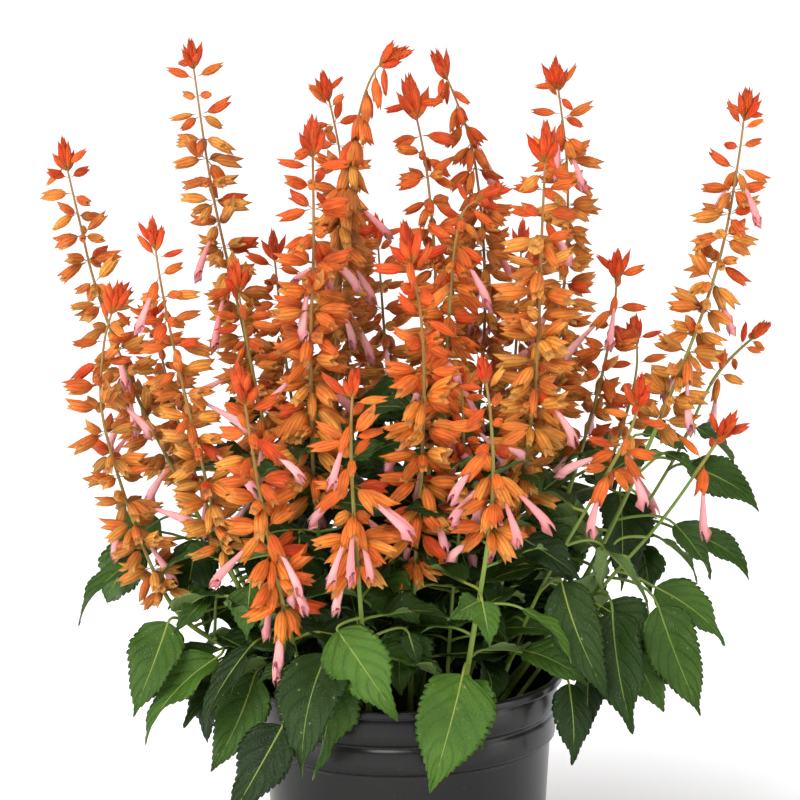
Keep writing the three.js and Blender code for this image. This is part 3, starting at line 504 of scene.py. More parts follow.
def flowerSpike(n):
    rng = np.random.default_rng(500 + n)
    look = spikeLook
    path, bloom, size, bronze, blossoms = paths[n], *shoots[n][1:]
    start, end = path.length - bloom, path.length
    piece = Piece(f"flowerSpike{n + 1:02d}")
    s = np.linspace(start, end - 10, 12 + int(bloom / 7))
    thinning = np.interp((s - start) / bloom, [0, 0.5, 1], [1.15, 0.95, 0.55])
    radius = look["stalkRadius"] * size ** 0.5 * thinning
    stalk(piece, path.at(s), radius, (rng.random(), 0.5, bronze), 2)

    # Whorls from the head down, each of two facing groups of one to four calyces.
    tip = path.points[-1]
    row = "rear" if n >= look["rearmost"] else "middle" if abs(tip[0]) < look["middleReach"] else "side"
    dense = row != "side" and tip[1] > look["frontLine"]
    places, s, k = [], end - look["headLength"] * 0.72 * size, 0
    turn = rng.random() * math.pi
    while s > start + 4:
        count = 1 + sum(k >= step for step in look["fuller"][row])
        for half in (0, math.pi):
            group = count if rng.random() > 0.15 else max(1, count - 1)
            for i in range(group):
                spot = (i - (group - 1) / 2) * (0.76 - 0.05 * group)
                places.append((s + rng.normal(0, 0.7), turn + half + spot + rng.normal(0, 0.13), end - s))
        turn += math.pi / 2 + rng.normal(0, 0.1)
        gaps = look["whorlGaps"]
        gap = gaps[k] if k < len(gaps) else look["whorlGap"]
        crowd = 0.88 if k > 5 and dense else 1
        s -= gap * crowd * size ** 0.5 * (0.92 + 0.16 * rng.random())
        k += 1
    places = np.array(places)
    many = len(places)
    depth = places[:, 2]
    at, along, side, across = path.frame(places[:, 0])
    low = np.clip((depth - 0.45 * bloom) / (0.55 * bloom), 0, 1)
    pitch = np.interp(depth, [12, 22, 36, 60], [0.8, 0.4, 0.2, 0.05]) - 0.5 * low * (size > 1.05)
    pitch = pitch + rng.normal(0, 0.34, many)
    pull = np.clip(rng.normal(0.05, 0.1, many), 0, 1)
    grown = np.interp(depth, [12, 24, 50], [0.76, 0.92, 1.0]) * size ** 0.6 * rng.normal(1, 0.08, many)

    # Open blossoms hang out of drooping calyces.
    late = np.abs(rng.normal(0, 1, many)) + 3 * (depth < 26) + 0.9 * (depth > 190) * (size < 1.2)
    flowers = np.argsort(late)[:round(1.5 * blossoms + 0.6)]
    pitch[flowers] = rng.normal(-0.55, 0.3, len(flowers))
    pull[flowers] = rng.uniform(0.1, 0.6, len(flowers))
    out, up = spread(along, side, across, places[:, 1], pitch, pull)
    # Where a spike nods, its upper calyces hang straight down.
    nod = look["weeping"].get(n, 0) * np.interp(depth, [30, 90, 170], [1, 0.8, 0])[:, None]
    out = unit(out * (1 - 0.85 * nod) - np.array([0, 0, 1.0]) * nod)
    up = squared(up, out)
    up = unit(up + np.cross(out, up) * rng.normal(0, 0.35, (many, 1)))
    ageAndShade = np.clip(0.07 + depth / (440 - 240 * min(bronze, 0.7)) + rng.normal(0, 0.09, many), 0.03, 1)
    ageAndShade = ageAndShade * (0.62 if n in look["redder"] else 1)
    old = np.clip(1.35 * bronze + rng.normal(0, 0.16, many), 0, 1) * np.clip(depth / 60, 0.3, 1)
    tone = rng.random(many)
    length = look["calyxLength"] * grown
    wide = look["calyxRadius"] * grown * rng.normal(1, 0.1, many) * np.interp(depth, [20, 80], [0.8, 1])
    mark = np.stack([tone, ageAndShade, old], -1)
    gape = np.clip(np.interp(depth, [20, 90], [0.0, 0.75]) + rng.normal(0, 0.25, many), 0, 1.1)
    gape[flowers] = 0.9
    pods(piece, closedShape, at, out, up, length, wide, look["calyxSideways"],
         rng.normal(0.05, 0.09, many), mark, 0, gapingShape, gape)

    f = flowers
    turnDown = rng.uniform(0.0, 0.14, len(f))
    length = look["blossomLength"] * rng.normal(1, 0.08, len(f))
    wide = look["blossomRadius"] * rng.normal(1, 0.06, len(f))
    pods(piece, blossomShape, at[f] + out[f] * 2, out[f], up[f], length, wide, 0.85, turnDown, mark[f], 1)

    # The head: pointed buds that stand closer and steeper toward its tip.
    buds, crown = look["buds"], size * look["headScale"].get(n, 1)
    rank = np.arange(buds) / (buds - 1)
    s = end - look["headLength"] * crown * (0.86 - 0.36 * rank)
    at, along, side, across = path.frame(s)
    steep = 0.16 if crown < size else 0
    pitch = np.interp(rank, [0, 0.12, 0.25, 1], [0.90 + steep, 1.12 + steep, 1.33, 1.5])
    pitch = pitch + rng.normal(0, 0.07, buds)
    angle = goldenAngle * np.arange(buds) + turn
    out, up = spread(along, side, across, angle, pitch, 0 * rank)
    length = (17.5 - 5.0 * rank) * crown * rng.normal(1, 0.12, buds)
    mark = np.stack([rng.random(buds), 0.07 * rng.random(buds), 0.0 * rank], -1)
    pods(piece, budShape, at, out, up, length, look["budRadius"] * (1 - 0.3 * rank) * crown, 0.8,
         -0.06 + 0 * rank, mark, 0)
    return piece


# Leafy shoots.
leafLook = {
    "thickness": 0.45, "toothStep": 3.9, "toothDepth": 0.036, "veins": 6, "veinRise": 0.34, "quilt": 0.8,
    "stalkRadius": 0.95, "columns": 12, "ripple": 1.6, "innerReach": 132, "leftReach": 172,
    "droop": 0.09, "twist": 0.7, "roll": 0.28, "sideReach": 165, "frontFrom": -40, "frontLine": -100,
}
stemLook = {"foot": 2.2, "top": 1.45, "sink": 4}

# Half width of a blade along it.
leafOutline = (
    (0, 0.03, 0.07, 0.12, 0.2, 0.3, 0.42, 0.55, 0.68, 0.8, 0.9, 0.96, 1),
    (0.12, 0.46, 0.70, 0.85, 0.97, 1, 0.93, 0.77, 0.54, 0.31, 0.13, 0.06, 0),
)


# Where a stem stands a share of the way up its leafy part: straight runs between five places.
def stemPlaces(n):
    path, leafy = paths[n], leafyLengths[n]
    low = path.points[0] + np.array([0, 0, 1.8])
    return np.vstack([low, path.at((leafy - 0.2) * np.arange(1, 5) / 4)])


def stemPoint(n, share):
    places = stemPlaces(n)
    return np.stack([np.interp(np.asarray(share) * 4, np.arange(5), places[:, k]) for k in range(3)], -1)


# The middle line of a blade: a quadratic curve arched toward the side its face looks to, and swayed
# sideways by a share of its length.
class Blade:
    def __init__(self, base, tip, face, sway=0):
        run = tip - base
        ahead = unit(run)
        normal = np.array([0, -face, 1 - abs(face)])
        self.normal = unit(normal - ahead * (normal @ ahead))
        self.base, self.tip = base, tip
        self.bend = (base + tip) / 2 + self.normal * 0.16 * np.linalg.norm(run)
        self.aside = np.cross(ahead, self.normal)
        self.bend = self.bend + self.aside * sway * np.linalg.norm(run)
        self.length = np.linalg.norm(run)

    def midrib(self, t):
        t = np.reshape(t, (-1, 1))
        return self.base * (1 - t) ** 2 + self.bend * 2 * t * (1 - t) + self.tip * t ** 2

    def start(self):
        return unit(self.midrib(0.1)[0] - self.base)


def leafRows():
    rows = [(np.array(r[:3], float), np.array(r[3:6], float), r[6], r[7]) for r in leaves]
    for r, (low, high, count, (baseOut, baseUp), (tipOut, tipUp)) in enumerate(backRings):
        for i in range(count):
            seed = r * 40 + i
            share = (i + 0.5 + 0.4 * (draw(seed) - 0.5)) / count
            a = math.radians(low + (high - low) * share)
            out, up = 6 * (draw(seed + 9) - 0.5), 14 * (draw(seed + 19) - 0.5)
            b = a + 0.3 * (draw(seed + 29) - 0.5)
            base = np.array([(baseOut + out) * math.cos(a), (baseOut + out) * math.sin(a), baseUp + up])
            tip = np.array([(tipOut + out) * math.cos(b), (tipOut + out) * math.sin(b), tipUp + up])
            rows.append((base, tip, 40 + 8 * draw(seed + 39), -0.3 * math.sin(a)))
    return rows


# The four best stems for a leaf: a stalk of about the right length that reaches the blade from behind.
def nearestStems(base, tip, face):
    blade = Blade(base, tip, face)
    way = blade.start()
    best = []
    for n in range(len(shoots)):
        at = stemPoint(n, np.arange(4, 20) / 20)
        run = base - at
        reach = np.linalg.norm(run, axis=1)
        back = np.maximum(0, 0.1 - run @ way / reach) + np.maximum(0, -(run @ blade.normal) / reach)
        cost = np.abs(reach - 24) + 0.3 * np.abs(at[:, 2] - base[2] + 6) + 60 * back
        i = int(np.argmin(cost))
        best.append((cost[i], n, at[i], (4 + i) / 20))
    return sorted(best, key=lambda b: b[0])[:4]


def shifted(p, centre, turn, rise):
    x, y = p[0] - centre[0], p[1] - centre[1]
    c, s = math.cos(turn), math.sin(turn)
    return np.array([centre[0] + x * c - y * s, centre[1] + x * s + y * c, p[2] + rise])


# The place each leaf has on the frame: of the shifts it may have had, the one whose tip is a point of
# its shoot's solid.
def placedLeaves():
    solids = []
    for n in range(len(shoots)):
        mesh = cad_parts[f"leafy_shoot_{n + 1:02d}"].data
        points = np.empty(len(mesh.vertices) * 3, np.float32)
        mesh.vertices.foreach_get("co", points)
        solids.append(points.reshape(-1, 3) * 1000.0)
    placed = []
    for k, (base, tip, width, face) in enumerate(leafRows()):
        options = []
        for size in leafSizes:
            for cost, n, root, share in nearestStems(base, tip, face):
                for turn, rise in leafTries:
                    b, t = shifted(base, root, turn, rise), shifted(tip, root, turn, rise)
                    options.append((n, share, b, b + (t - b) * size, width * size))
        for n, share, b, t, w in options:
            if np.abs(solids[n] - t).sum(axis=1).min() < 0.05:
                placed.append((k, n, share, b, t, w, face))
                break
    return placed


# A leaf blade as a grid: t runs from base to tip and u from one margin to the other. The margin is cut
# into rounded forward teeth; the face is folded up along the midrib and twists about it, swells between
# the side veins that rise outward from the midrib, and waves toward its margin. The underside lies one
# thickness below.
def leafBlade(piece, blade, width, seed, tone, ageAndShade, length, fine=True):
    look, rng = leafLook, np.random.default_rng(900 + seed)
    teeth = int(np.clip(round(length / look["toothStep"]), 8, 20))
    steps = 3 if fine else 2
    t = np.linspace(0, 1, steps * teeth + 1)[:-1, None]
    columns = look["columns"] if fine else 8
    fold, twist, roll = rng.uniform(0.15, 0.62), rng.normal(0, look["twist"]), rng.normal(0, look["roll"])
    u = np.linspace(-1, 1, columns + 1)
    u = np.sign(u) * np.abs(u) ** 0.9
    both = np.concatenate([u, u[-2:0:-1]])[None]
    top = np.concatenate([np.ones(columns + 1), -np.ones(columns - 1)])[None]
    rim = (np.abs(both) > 0.999)
    phase = (np.arange(len(t)) % steps)[:, None]
    fade = np.clip(np.minimum(t / 0.08, (1 - t) / 0.05), 0, 1)
    uneven = 1 + 0.45 * np.sin(np.arange(len(t))[:, None] // steps * 2.4 + seed + both * 1.5)
    out, lean = ([-1.2, 0.6, 1.0], [0.0, 0.2, 0.75]) if fine else ([-1, 1], [0.1, 0.5])
    tooth = np.array(out)[phase] * look["toothDepth"] * fade * uneven
    half = np.interp(t, *leafOutline) * (1 + tooth * np.abs(both) ** 6) * width / 2
    forward = t + np.abs(both) ** 6 * fade * np.array(lean)[phase] / (steps * teeth)
    bank = fold * (1 - 0.35 * t) + 0.16 * np.sin(9 * t + seed)
    spreadOut = half * both * np.cos(bank)
    lift = np.abs(half * both) * np.sin(bank)
    wave = np.sin(t * 17 + seed * 1.7 + both * 1.2)
    lift = lift + look["ripple"] * np.abs(both) ** 3 * wave * fade * width / 40
    vein = (t - look["veinRise"] * np.abs(both) ** 1.35) * look["veins"] + 0.5
    swell = np.abs(np.sin(math.pi * vein)) ** 0.7 * (1 - np.abs(both) ** 4) * (1 - np.exp(-np.abs(both) * 9))
    lift = lift + look["quilt"] * (swell - 0.5) * fade * min(1, width / 40)
    lift = lift + top * np.where(rim, 0, look["thickness"] / 2)
    points = blade.midrib(forward.ravel()).reshape(*forward.shape, 3)
    turn = roll * np.clip(t / 0.2, 0, 1) + twist * np.clip(t - 0.1, 0, 1)
    sunk = look["droop"] * length * np.clip(t - 0.7, 0, 1) ** 2 / 0.09
    aside = spreadOut * np.cos(turn) - lift * np.sin(turn)
    rise = spreadOut * np.sin(turn) + lift * np.cos(turn)
    points = points + blade.aside * aside[..., None] + blade.normal * (rise - sunk)[..., None]
    last = blade.tip - blade.normal * look["droop"] * length
    ends = np.stack([blade.base, points[-1, columns // 2] * 0.2 + last * 0.8])
    place = np.stack(np.broadcast_arrays(both, t, np.abs(half * both)), -1)
    r, c = points.shape[:2]
    quads, low, high = tubeFaces(r, c)
    upper = np.arange(c) < columns
    rings = np.vstack([points.reshape(-1, 3), ends])
    places = np.vstack([place.reshape(-1, 3), [[0, 0, 0], [0, 1, 0]]])
    side = np.concatenate([np.tile(upper, r - 1), upper, upper])
    piece.add(rings, [quads, low, high], places, (tone, ageAndShade, length), np.where(side, 0, 1))


# The stalk of a leaf: it leaves the stem rising and bends over into the blade, then runs on as a midrib
# that thins out along the underside.
def leafStalk(piece, blade, root, tone):
    look = leafLook
    run = np.linalg.norm(blade.base - root)
    away = unit(blade.base - root)
    rise = unit(away + np.array([0, 0, 0.3]))
    t = np.linspace(0, 1, 9)[:, None]
    a, b, c, d = root, root + rise * run * 0.4, blade.base - blade.start() * run * 0.3, blade.base
    line = a * (1 - t) ** 3 + 3 * b * t * (1 - t) ** 2 + 3 * c * t ** 2 * (1 - t) + d * t ** 3
    rib = np.linspace(0.06, 0.92, 12)
    sunk = look["droop"] * blade.length * np.clip(rib - 0.7, 0, 1)[:, None] ** 2 / 0.09
    under = blade.midrib(rib) - blade.normal * (0.3 + sunk)
    points = np.vstack([line, under])
    radius = look["stalkRadius"] * np.concatenate([np.linspace(1.15, 0.9, 9), 0.8 * (1 - rib) + 0.12])
    stalk(piece, points, radius, (tone, 0.5, 0), 2, 6, tuple(np.cross(away, blade.aside)), 0)


# Smaller leaves in the shade inside the plant: facing pairs on a stem, each pair turned a quarter.
def innerLeaves(n):
    rng = np.random.default_rng(800 + n)
    path, leafy = paths[n], leafyLengths[n]
    made, top = [], path.points[-1]
    middle = abs(top[0]) < spikeLook["middleReach"] and top[1] > spikeLook["frontLine"]
    for k, share in enumerate(np.arange(0.3, 1.28 if middle else 1.04, 0.12)):
        root = path.at(share * leafy)
        for half in (0, math.pi):
            a = n * 1.3 + k * math.pi / 2 + half + rng.normal(0, 0.25)
            size = rng.uniform(40, 66) * (1.1 - 0.3 * share)
            tilt = rng.normal(0.1, 0.3) + 0.5 * (share - 0.6)
            away = np.array([math.cos(a) * math.cos(tilt), math.sin(a) * math.cos(tilt), math.sin(tilt)])
            level = np.array([math.cos(a), math.sin(a), 0.25])
            base = root + level * rng.uniform(8, 18)
            tip = base + away * size - np.array([0, 0, size * 0.22])
            out = np.hypot(tip[0], tip[1])
            reach = leafLook["leftReach"] if tip[0] < -90 and tip[1] < 10 else leafLook["innerReach"]
            if out < reach and tip[1] > -88 and 172 < tip[2] < 365:
                made.append((root, base, tip, size * rng.uniform(0.56, 0.7), rng.uniform(0, 0.4)))
    return made


def leafyShoot(n, placed):
    rng = np.random.default_rng(700 + n)
    look = stemLook
    path = paths[n]
    s = np.linspace(0, leafyLengths[n] + 2, 26)
    points = path.at(s)
    foot = points[0] - np.array([0, 0, look["sink"]])
    radius = np.interp(s, [0, s[-1]], [look["foot"], look["top"]]) * (0.72 if shoots[n][1] < 110 else 1)
    piece = Piece(f"leafyShoot{n + 1:02d}")
    stalk(piece, np.vstack([foot, points]), np.concatenate([[radius[0]], radius]), (rng.random(), 0, 0), 2)
    for k, host, share, base, tip, width, face in placed:
        if host != n:
            continue
        front = tip[1] < leafLook["frontLine"] and tip[0] > leafLook["frontFrom"]
        blade = Blade(base, tip, face, 0.16 * (draw(k + 0.5) - 0.5) * (0.4 if front else 1.6))
        outer = abs(tip[0]) > leafLook["sideReach"]
        # Blade brightness: front leaves get a light green, painted light; the rest get a random share
        # leaning dark, painted shade inside the plant.
        shade = 0.3 + 0.45 * draw(k + 0.7) if outer else 0.8 * draw(k + 0.7) ** 1.6
        tone, ageAndShade = draw(k + 0.3), 0.75 + 0.2 * draw(k + 0.7) if front else shade
        slim = 0.97 if front else np.interp(abs(tip[0]), [30, 110], [0.93, 0.8])
        leafBlade(piece, blade, width * slim, k, tone, ageAndShade, blade.length)
        leafStalk(piece, blade, path.at(share * leafyLengths[n]), tone)
    for i, (root, base, tip, width, face) in enumerate(innerLeaves(n)):
        blade = Blade(base, tip, face, 0.14 * rng.normal())
        # Inner leaves get a dark green: painted shade inside the plant.
        tone, ageAndShade = rng.random(), 0.35 * rng.random()
        leafBlade(piece, blade, width, 200 + n * 20 + i, tone, ageAndShade, blade.length, False)
        leafStalk(piece, blade, root, tone)
    return piece


# The pot.
potLook = {"segments": 160, "round": 1.5, "holes": 4, "holeRadius": 6, "holeCircle": 52, "holeSides": 24}
# Radius and height, from the middle of the base out and up, over the lip and down inside.
potOutline = [
    (0, 0), (79, 0), (80.7, 1.8), (91.2, 145.6),
    (91.0, 147), (94.6, 149.6), (95.0, 155), (94.4, 163), (92.8, 165.6),
    (95.9, 168.4), (96.5, 174), (96.0, 181.6), (95.0, 184.6),
    (99.6, 184.8), (100.2, 186), (100, 189.2), (99.0, 190), (95.6, 190),
    (93.0, 184.6), (91.6, 166), (89.4, 147.6), (78.9, 2.6), (0, 2.6),
]


# An outline with each corner rounded by a quadratic curve that starts and ends a little way off it.
def rounded(outline, radius, steps=4):
    p = np.array(outline, float)
    made = [p[:1]]
    for a, b, c in zip(p, p[1:], p[2:]):
        r = min(radius, 0.45 * np.linalg.norm(a - b), 0.45 * np.linalg.norm(c - b))
        start, stop = b + unit(a - b) * r, b + unit(c - b) * r
        t = np.linspace(0, 1, steps)[:, None]
        made.append(start * (1 - t) ** 2 + 2 * b * t * (1 - t) + stop * t ** 2)
    return np.vstack(made + [p[-1:]])


# A round body: each point of the outline carried round the upright axis.
def turned(piece, outline, segments, mark, skin):
    angle = angles(segments)
    r, z = outline[1:-1, :1], outline[1:-1, 1:]
    rings, place = around(r, angle, z), around(1, angle, z)
    ends = np.array([[0, 0, outline[0, 1]], [0, 0, outline[-1, 1]]])
    piece.tube(rings, ends, place, ends, mark, skin)


def makePot(skin):
    look = potLook
    body = Piece("potBody")
    turned(body, rounded(potOutline, look["round"]), look["segments"], (0.5, 0, 0), 0)
    pot = body.make([skin], "pot_plastic", "pot")
    drills = Piece("drills")
    for i in range(look["holes"]):
        a = math.pi / 4 + 2 * math.pi * i / look["holes"]
        sides, radius = look["holeSides"], look["holeRadius"]
        centre = np.array([look["holeCircle"] * math.cos(a), look["holeCircle"] * math.sin(a)])
        angle = angles(sides)
        ring = np.stack([centre[0] + radius * np.cos(angle), centre[1] + radius * np.sin(angle)], -1)
        rings = np.stack([np.column_stack([ring, np.full(sides, z)]) for z in (-4.0, 9.0)])
        ends = np.array([[*centre, -4.0], [*centre, 9.0]])
        drills.tube(rings, ends, rings, ends, (0, 0, 0), 0)
    cutter = drills.make([skin], "pot_plastic")
    cut = pot.modifiers.new("drainHoles", "BOOLEAN")
    cut.object, cut.operation, cut.solver = cutter, "DIFFERENCE", "EXACT"
    bpy.context.view_layer.update()
    depsgraph = bpy.context.evaluated_depsgraph_get()
    finished = bpy.data.meshes.new_from_object(pot.evaluated_get(depsgraph))
    pot.modifiers.clear()
    pot.data = finished
    bpy.data.objects.remove(cutter)
    return pot


# Soil: a body that fills the pot, with a crumbly top and bits of bark lying on it.
soilLook = {"top": 163.4, "rings": 46, "segments": 150, "crumb": 1.5, "bark": 260,
            "wall": ((88.9, 147.6), (78.4, 2.95))}


def makeSoil(skin, barkSkin):
    look, rng = soilLook, np.random.default_rng(41)
    piece = Piece("pottingSoil")
    r = 91.2 * np.linspace(0, 1, look["rings"])[1:, None]
    angle = angles(look["segments"])
    x, y = r * np.cos(angle), r * np.sin(angle)
    z = look["top"] + 0.6 - 3.2 * (r / 92) ** 4 + 0 * x
    for k in range(34):
        a, wave = rng.random() * 6.283, rng.uniform(0.06, 0.9)
        way = x * math.cos(a) + y * math.sin(a)
        z = z + look["crumb"] * 0.35 * (0.12 / wave) ** 0.35 * np.sin(wave * way + rng.random() * 6.283)
    top = np.stack([x, y, z], -1)[::-1]
    wall = [around(radius, angle, height) for radius, height in look["wall"]]
    rings = np.concatenate([np.stack(wall[::-1]), top])
    ends = np.array([[0, 0, 2.95], [0, 0, look["top"] + 0.6]])
    piece.tube(rings, ends, rings, ends, (0.5, 0, 0), 0)
    # Bark: flat chips with five uneven sides.
    many = look["bark"]
    out = unit(rng.normal(0, 1, (many, 3)) * [1, 1, 0.25])
    up = unit(rng.normal(0, 1, (many, 3)))
    up = squared(up, out)
    reach, a = 88 * np.sqrt(rng.random(many)), rng.random(many) * 6.283
    at = around(reach, a, look["top"] + rng.uniform(-0.6, 1.2, many))
    chip = (np.array([0.06, 0.3, 0.7, 0.95])[:, None] * np.ones(5),
            np.array([0.5, 1.0, 0.9, 0.45])[:, None] * np.array([1, 0.8, 1.1, 0.9, 1.05]), 0.0, 1.0)
    length = rng.uniform(2.5, 11, many)
    mark = np.stack([rng.random(many), rng.random(many), 0 * a], -1)
    wide = rng.uniform(0.8, 2.0, many)
    pods(piece, chip, at - out * length[:, None] / 2, out, up, length, wide, 0.5, 0, mark, 1)
    return piece.make([skin, barkSkin], "potting_soil", "soil")


# Finishes.
def calyxSkin():
    sheet = Sheet("calyxSkin")
    cosine, sine, along = sheet.parts("place")
    # On calyces the middle mark is their age alone; on leaves it also carries painted light and shade.
    tone, ageAndShade, old = sheet.parts("mark")
    angle = sheet.node("ShaderNodeMath", {"operation": "ARCTAN2"}, {0: sine, 1: cosine})
    rib = (angle * 5).math("COSINE").math("ABSOLUTE") ** 9
    fibre = sheet.noise(sheet.vector(cosine * 2.2 + tone * 37, sine * 2.2, along * 1.1), 3.2, 2)
    fresh = sheet.ramp(ageAndShade, (0.02, (0.58, 0.022, 0.006)), (0.12, (0.80, 0.11, 0.016)),
                       (0.27, (0.90, 0.26, 0.034)), (0.50, (0.90, 0.38, 0.055)), (1.0, (0.58, 0.26, 0.045)))
    aged = sheet.ramp(ageAndShade, (0.05, (0.56, 0.11, 0.026)), (0.32, (0.42, 0.165, 0.036)),
                      (1.0, (0.22, 0.120, 0.030)))
    warm = sheet.step(tone, 0.6, 0.95) * 0.6
    pale = sheet.step(tone, 0.4, 0.05) * 0.6
    drab = sheet.step((tone * 7.31).math("FRACT"), 0.6, 0.95) * sheet.step(ageAndShade, 0.2, 0.5) * 0.7
    flush = sheet.step(sheet.noise(sheet.where(), 24, 2), 0.48, 0.66) * sheet.step(ageAndShade, 0.75, 0.3)
    tongue = sheet.step(cosine * -1, 0.35, 0.95) * sheet.step(along, 0.45, 0.85) * sheet.step(ageAndShade, 0.1, 0.35)
    upper = sheet.step(cosine, 0.0, 0.9) * sheet.step(along, 0.3, 0.7) * sheet.step(tone, 0.1, 0.6)
    crimson = sheet.step((tone * 13.7).math("FRACT"), 0.90, 0.96) * sheet.step(ageAndShade, 0.8, 0.5)
    color = sheet.coats(
        sheet.tint(old, fresh, aged),
        (warm * 0.8, (0.80, 0.12, 0.024)),
        (flush * 0.5, (0.74, 0.10, 0.020)),
        (pale * sheet.step(ageAndShade, 0.12, 0.35), (0.90, 0.43, 0.075)),
        (drab, (0.33, 0.19, 0.045)),
        (tongue * 0.5, (0.86, 0.46, 0.12)),
        # Paler gold toward the lips on older calyces: partly their own colour, partly painted light showing
        # through the thin lips.
        (sheet.step(along, 0.6, 1.05) * sheet.step(ageAndShade, 0.2, 0.45) * 0.42, (0.90, 0.45, 0.09)),
        (upper * 0.35, (0.70, 0.10, 0.016)),
        (crimson * 0.85, (0.60, 0.025, 0.008)),
    )
    # Patches of light and shade, then the foot, ribs, streaks and the lining inside the lips.
    shade = sheet.step(sheet.noise(sheet.where(), 95, 1), 0.32, 0.68) * 0.42 + 0.74
    streak = sheet.step(fibre, 0.50, 0.30) * sheet.step(along, 0.15, 0.5)
    color = sheet.coats(
        sheet.tint(1.0, color, shade, "MULTIPLY"),
        (sheet.step(along, 0.36, 0.18) * 0.7, (0.30, 0.16, 0.035)),
        (rib * sheet.step(along, 0.2, 0.4) * (fibre * 0.9 + 0.12), (0.36, 0.05, 0.008)),
        (sheet.step(fibre, 0.45, 0.75) * 0.35, (0.86, 0.33, 0.035)),
        (streak * 0.45, sheet.tint(ageAndShade, (0.50, 0.030, 0.006), (0.42, 0.14, 0.022))),
        (sheet.step(along, 1.12, 1.2) * 0.6, (0.70, 0.36, 0.11)),
    )
    crease = sheet.noise(sheet.vector(cosine * 5 + tone * 53, sine * 5, along * 2.6), 2.4, 1)
    normal = sheet.bump(rib * 0.8 + fibre * 0.5 + crease * 1.3, 0.6, 0.0007)
    return sheet.finish({"Base Color": color, "Roughness": 0.52 + fibre * 0.15, "Normal": normal,
                         "Subsurface Weight": 0.18, "Subsurface Radius": (1.0, 0.4, 0.1),
                         "Subsurface Scale": 0.002, "Specular IOR Level": 0.22})


def blossomSkin():
    sheet = Sheet("blossomSkin")
    cosine, sine, along = sheet.parts("place")
    tone = sheet.parts("mark")[0]
    fibre = sheet.noise(sheet.vector(cosine * 3 + tone * 31, sine * 3, along * 1.3), 3.0, 3)
    color = sheet.tint(tone, (0.80, 0.27, 0.28), (0.87, 0.44, 0.45))
    color = sheet.tint(sheet.step(along, 0.80, 0.98) * 0.6, color, (0.78, 0.20, 0.22))
    color = sheet.tint(sheet.step(fibre, 0.45, 0.8) * 0.5, color, (0.90, 0.55, 0.54))
    crease = sheet.noise(sheet.vector(cosine * 4 + tone * 23, sine * 4, along * 6), 2.0, 1)
    normal = sheet.bump(fibre + crease * 1.2, 0.5, 0.0007)
    return sheet.finish({"Base Color": color, "Roughness": 0.5, "Normal": normal, "Subsurface Weight": 0.25,
                         "Subsurface Radius": (1.0, 0.5, 0.4), "Subsurface Scale": 0.002})


def flowerStalkSkin():
    sheet = Sheet("flowerStalkSkin")
    old = sheet.parts("mark")[2]
    along = sheet.parts("place")[2]
    grain = sheet.noise(sheet.where(), 260, 3)
    color = sheet.tint(sheet.step(along, 2, 20), (0.24, 0.23, 0.035), (0.34, 0.15, 0.03))
    color = sheet.tint(old * 0.4, color, (0.20, 0.12, 0.03))
    color = sheet.tint(sheet.step(grain, 0.4, 0.7) * 0.4, color, (0.30, 0.13, 0.03))
    return sheet.finish({"Base Color": color, "Roughness": 0.55, "Normal": sheet.bump(grain, 0.3, 0.0003)})


def stemSkin():
    sheet = Sheet("stemSkin")
    tone = sheet.parts("mark")[0]
    grain = sheet.noise(sheet.where(), 180, 3)
    color = sheet.tint(tone, (0.12, 0.21, 0.025), (0.24, 0.30, 0.04))
    color = sheet.tint(sheet.step(grain, 0.45, 0.75) * 0.4, color, (0.14, 0.22, 0.03))
    return sheet.finish({"Base Color": color, "Roughness": 0.5, "Normal": sheet.bump(grain, 0.25, 0.0003)})


# Distance in millimetres from the nearest side vein, and a mask of all the veins of a blade.
def veins(sheet, u, t, lateral, length, tone):
    look = leafLook
    way = u.math("ABSOLUTE")
    bow = sheet.noise(sheet.vector(u * 0.8, t * 1.6, tone), 1.6, 2) * 0.09
    q = (t + bow - (way ** 1.35) * look["veinRise"]) * look["veins"] + 0.5
    near = (q - q.math("ROUND")).math("ABSOLUTE")
    gap = near * length * (1 / look["veins"])
    side = sheet.step(gap + way * 0.25, 0.65, 0.08) * 0.75
    middle = sheet.step(lateral + t * 0.4, 0.9, 0.25)
    return side.math("MAXIMUM", middle), gap


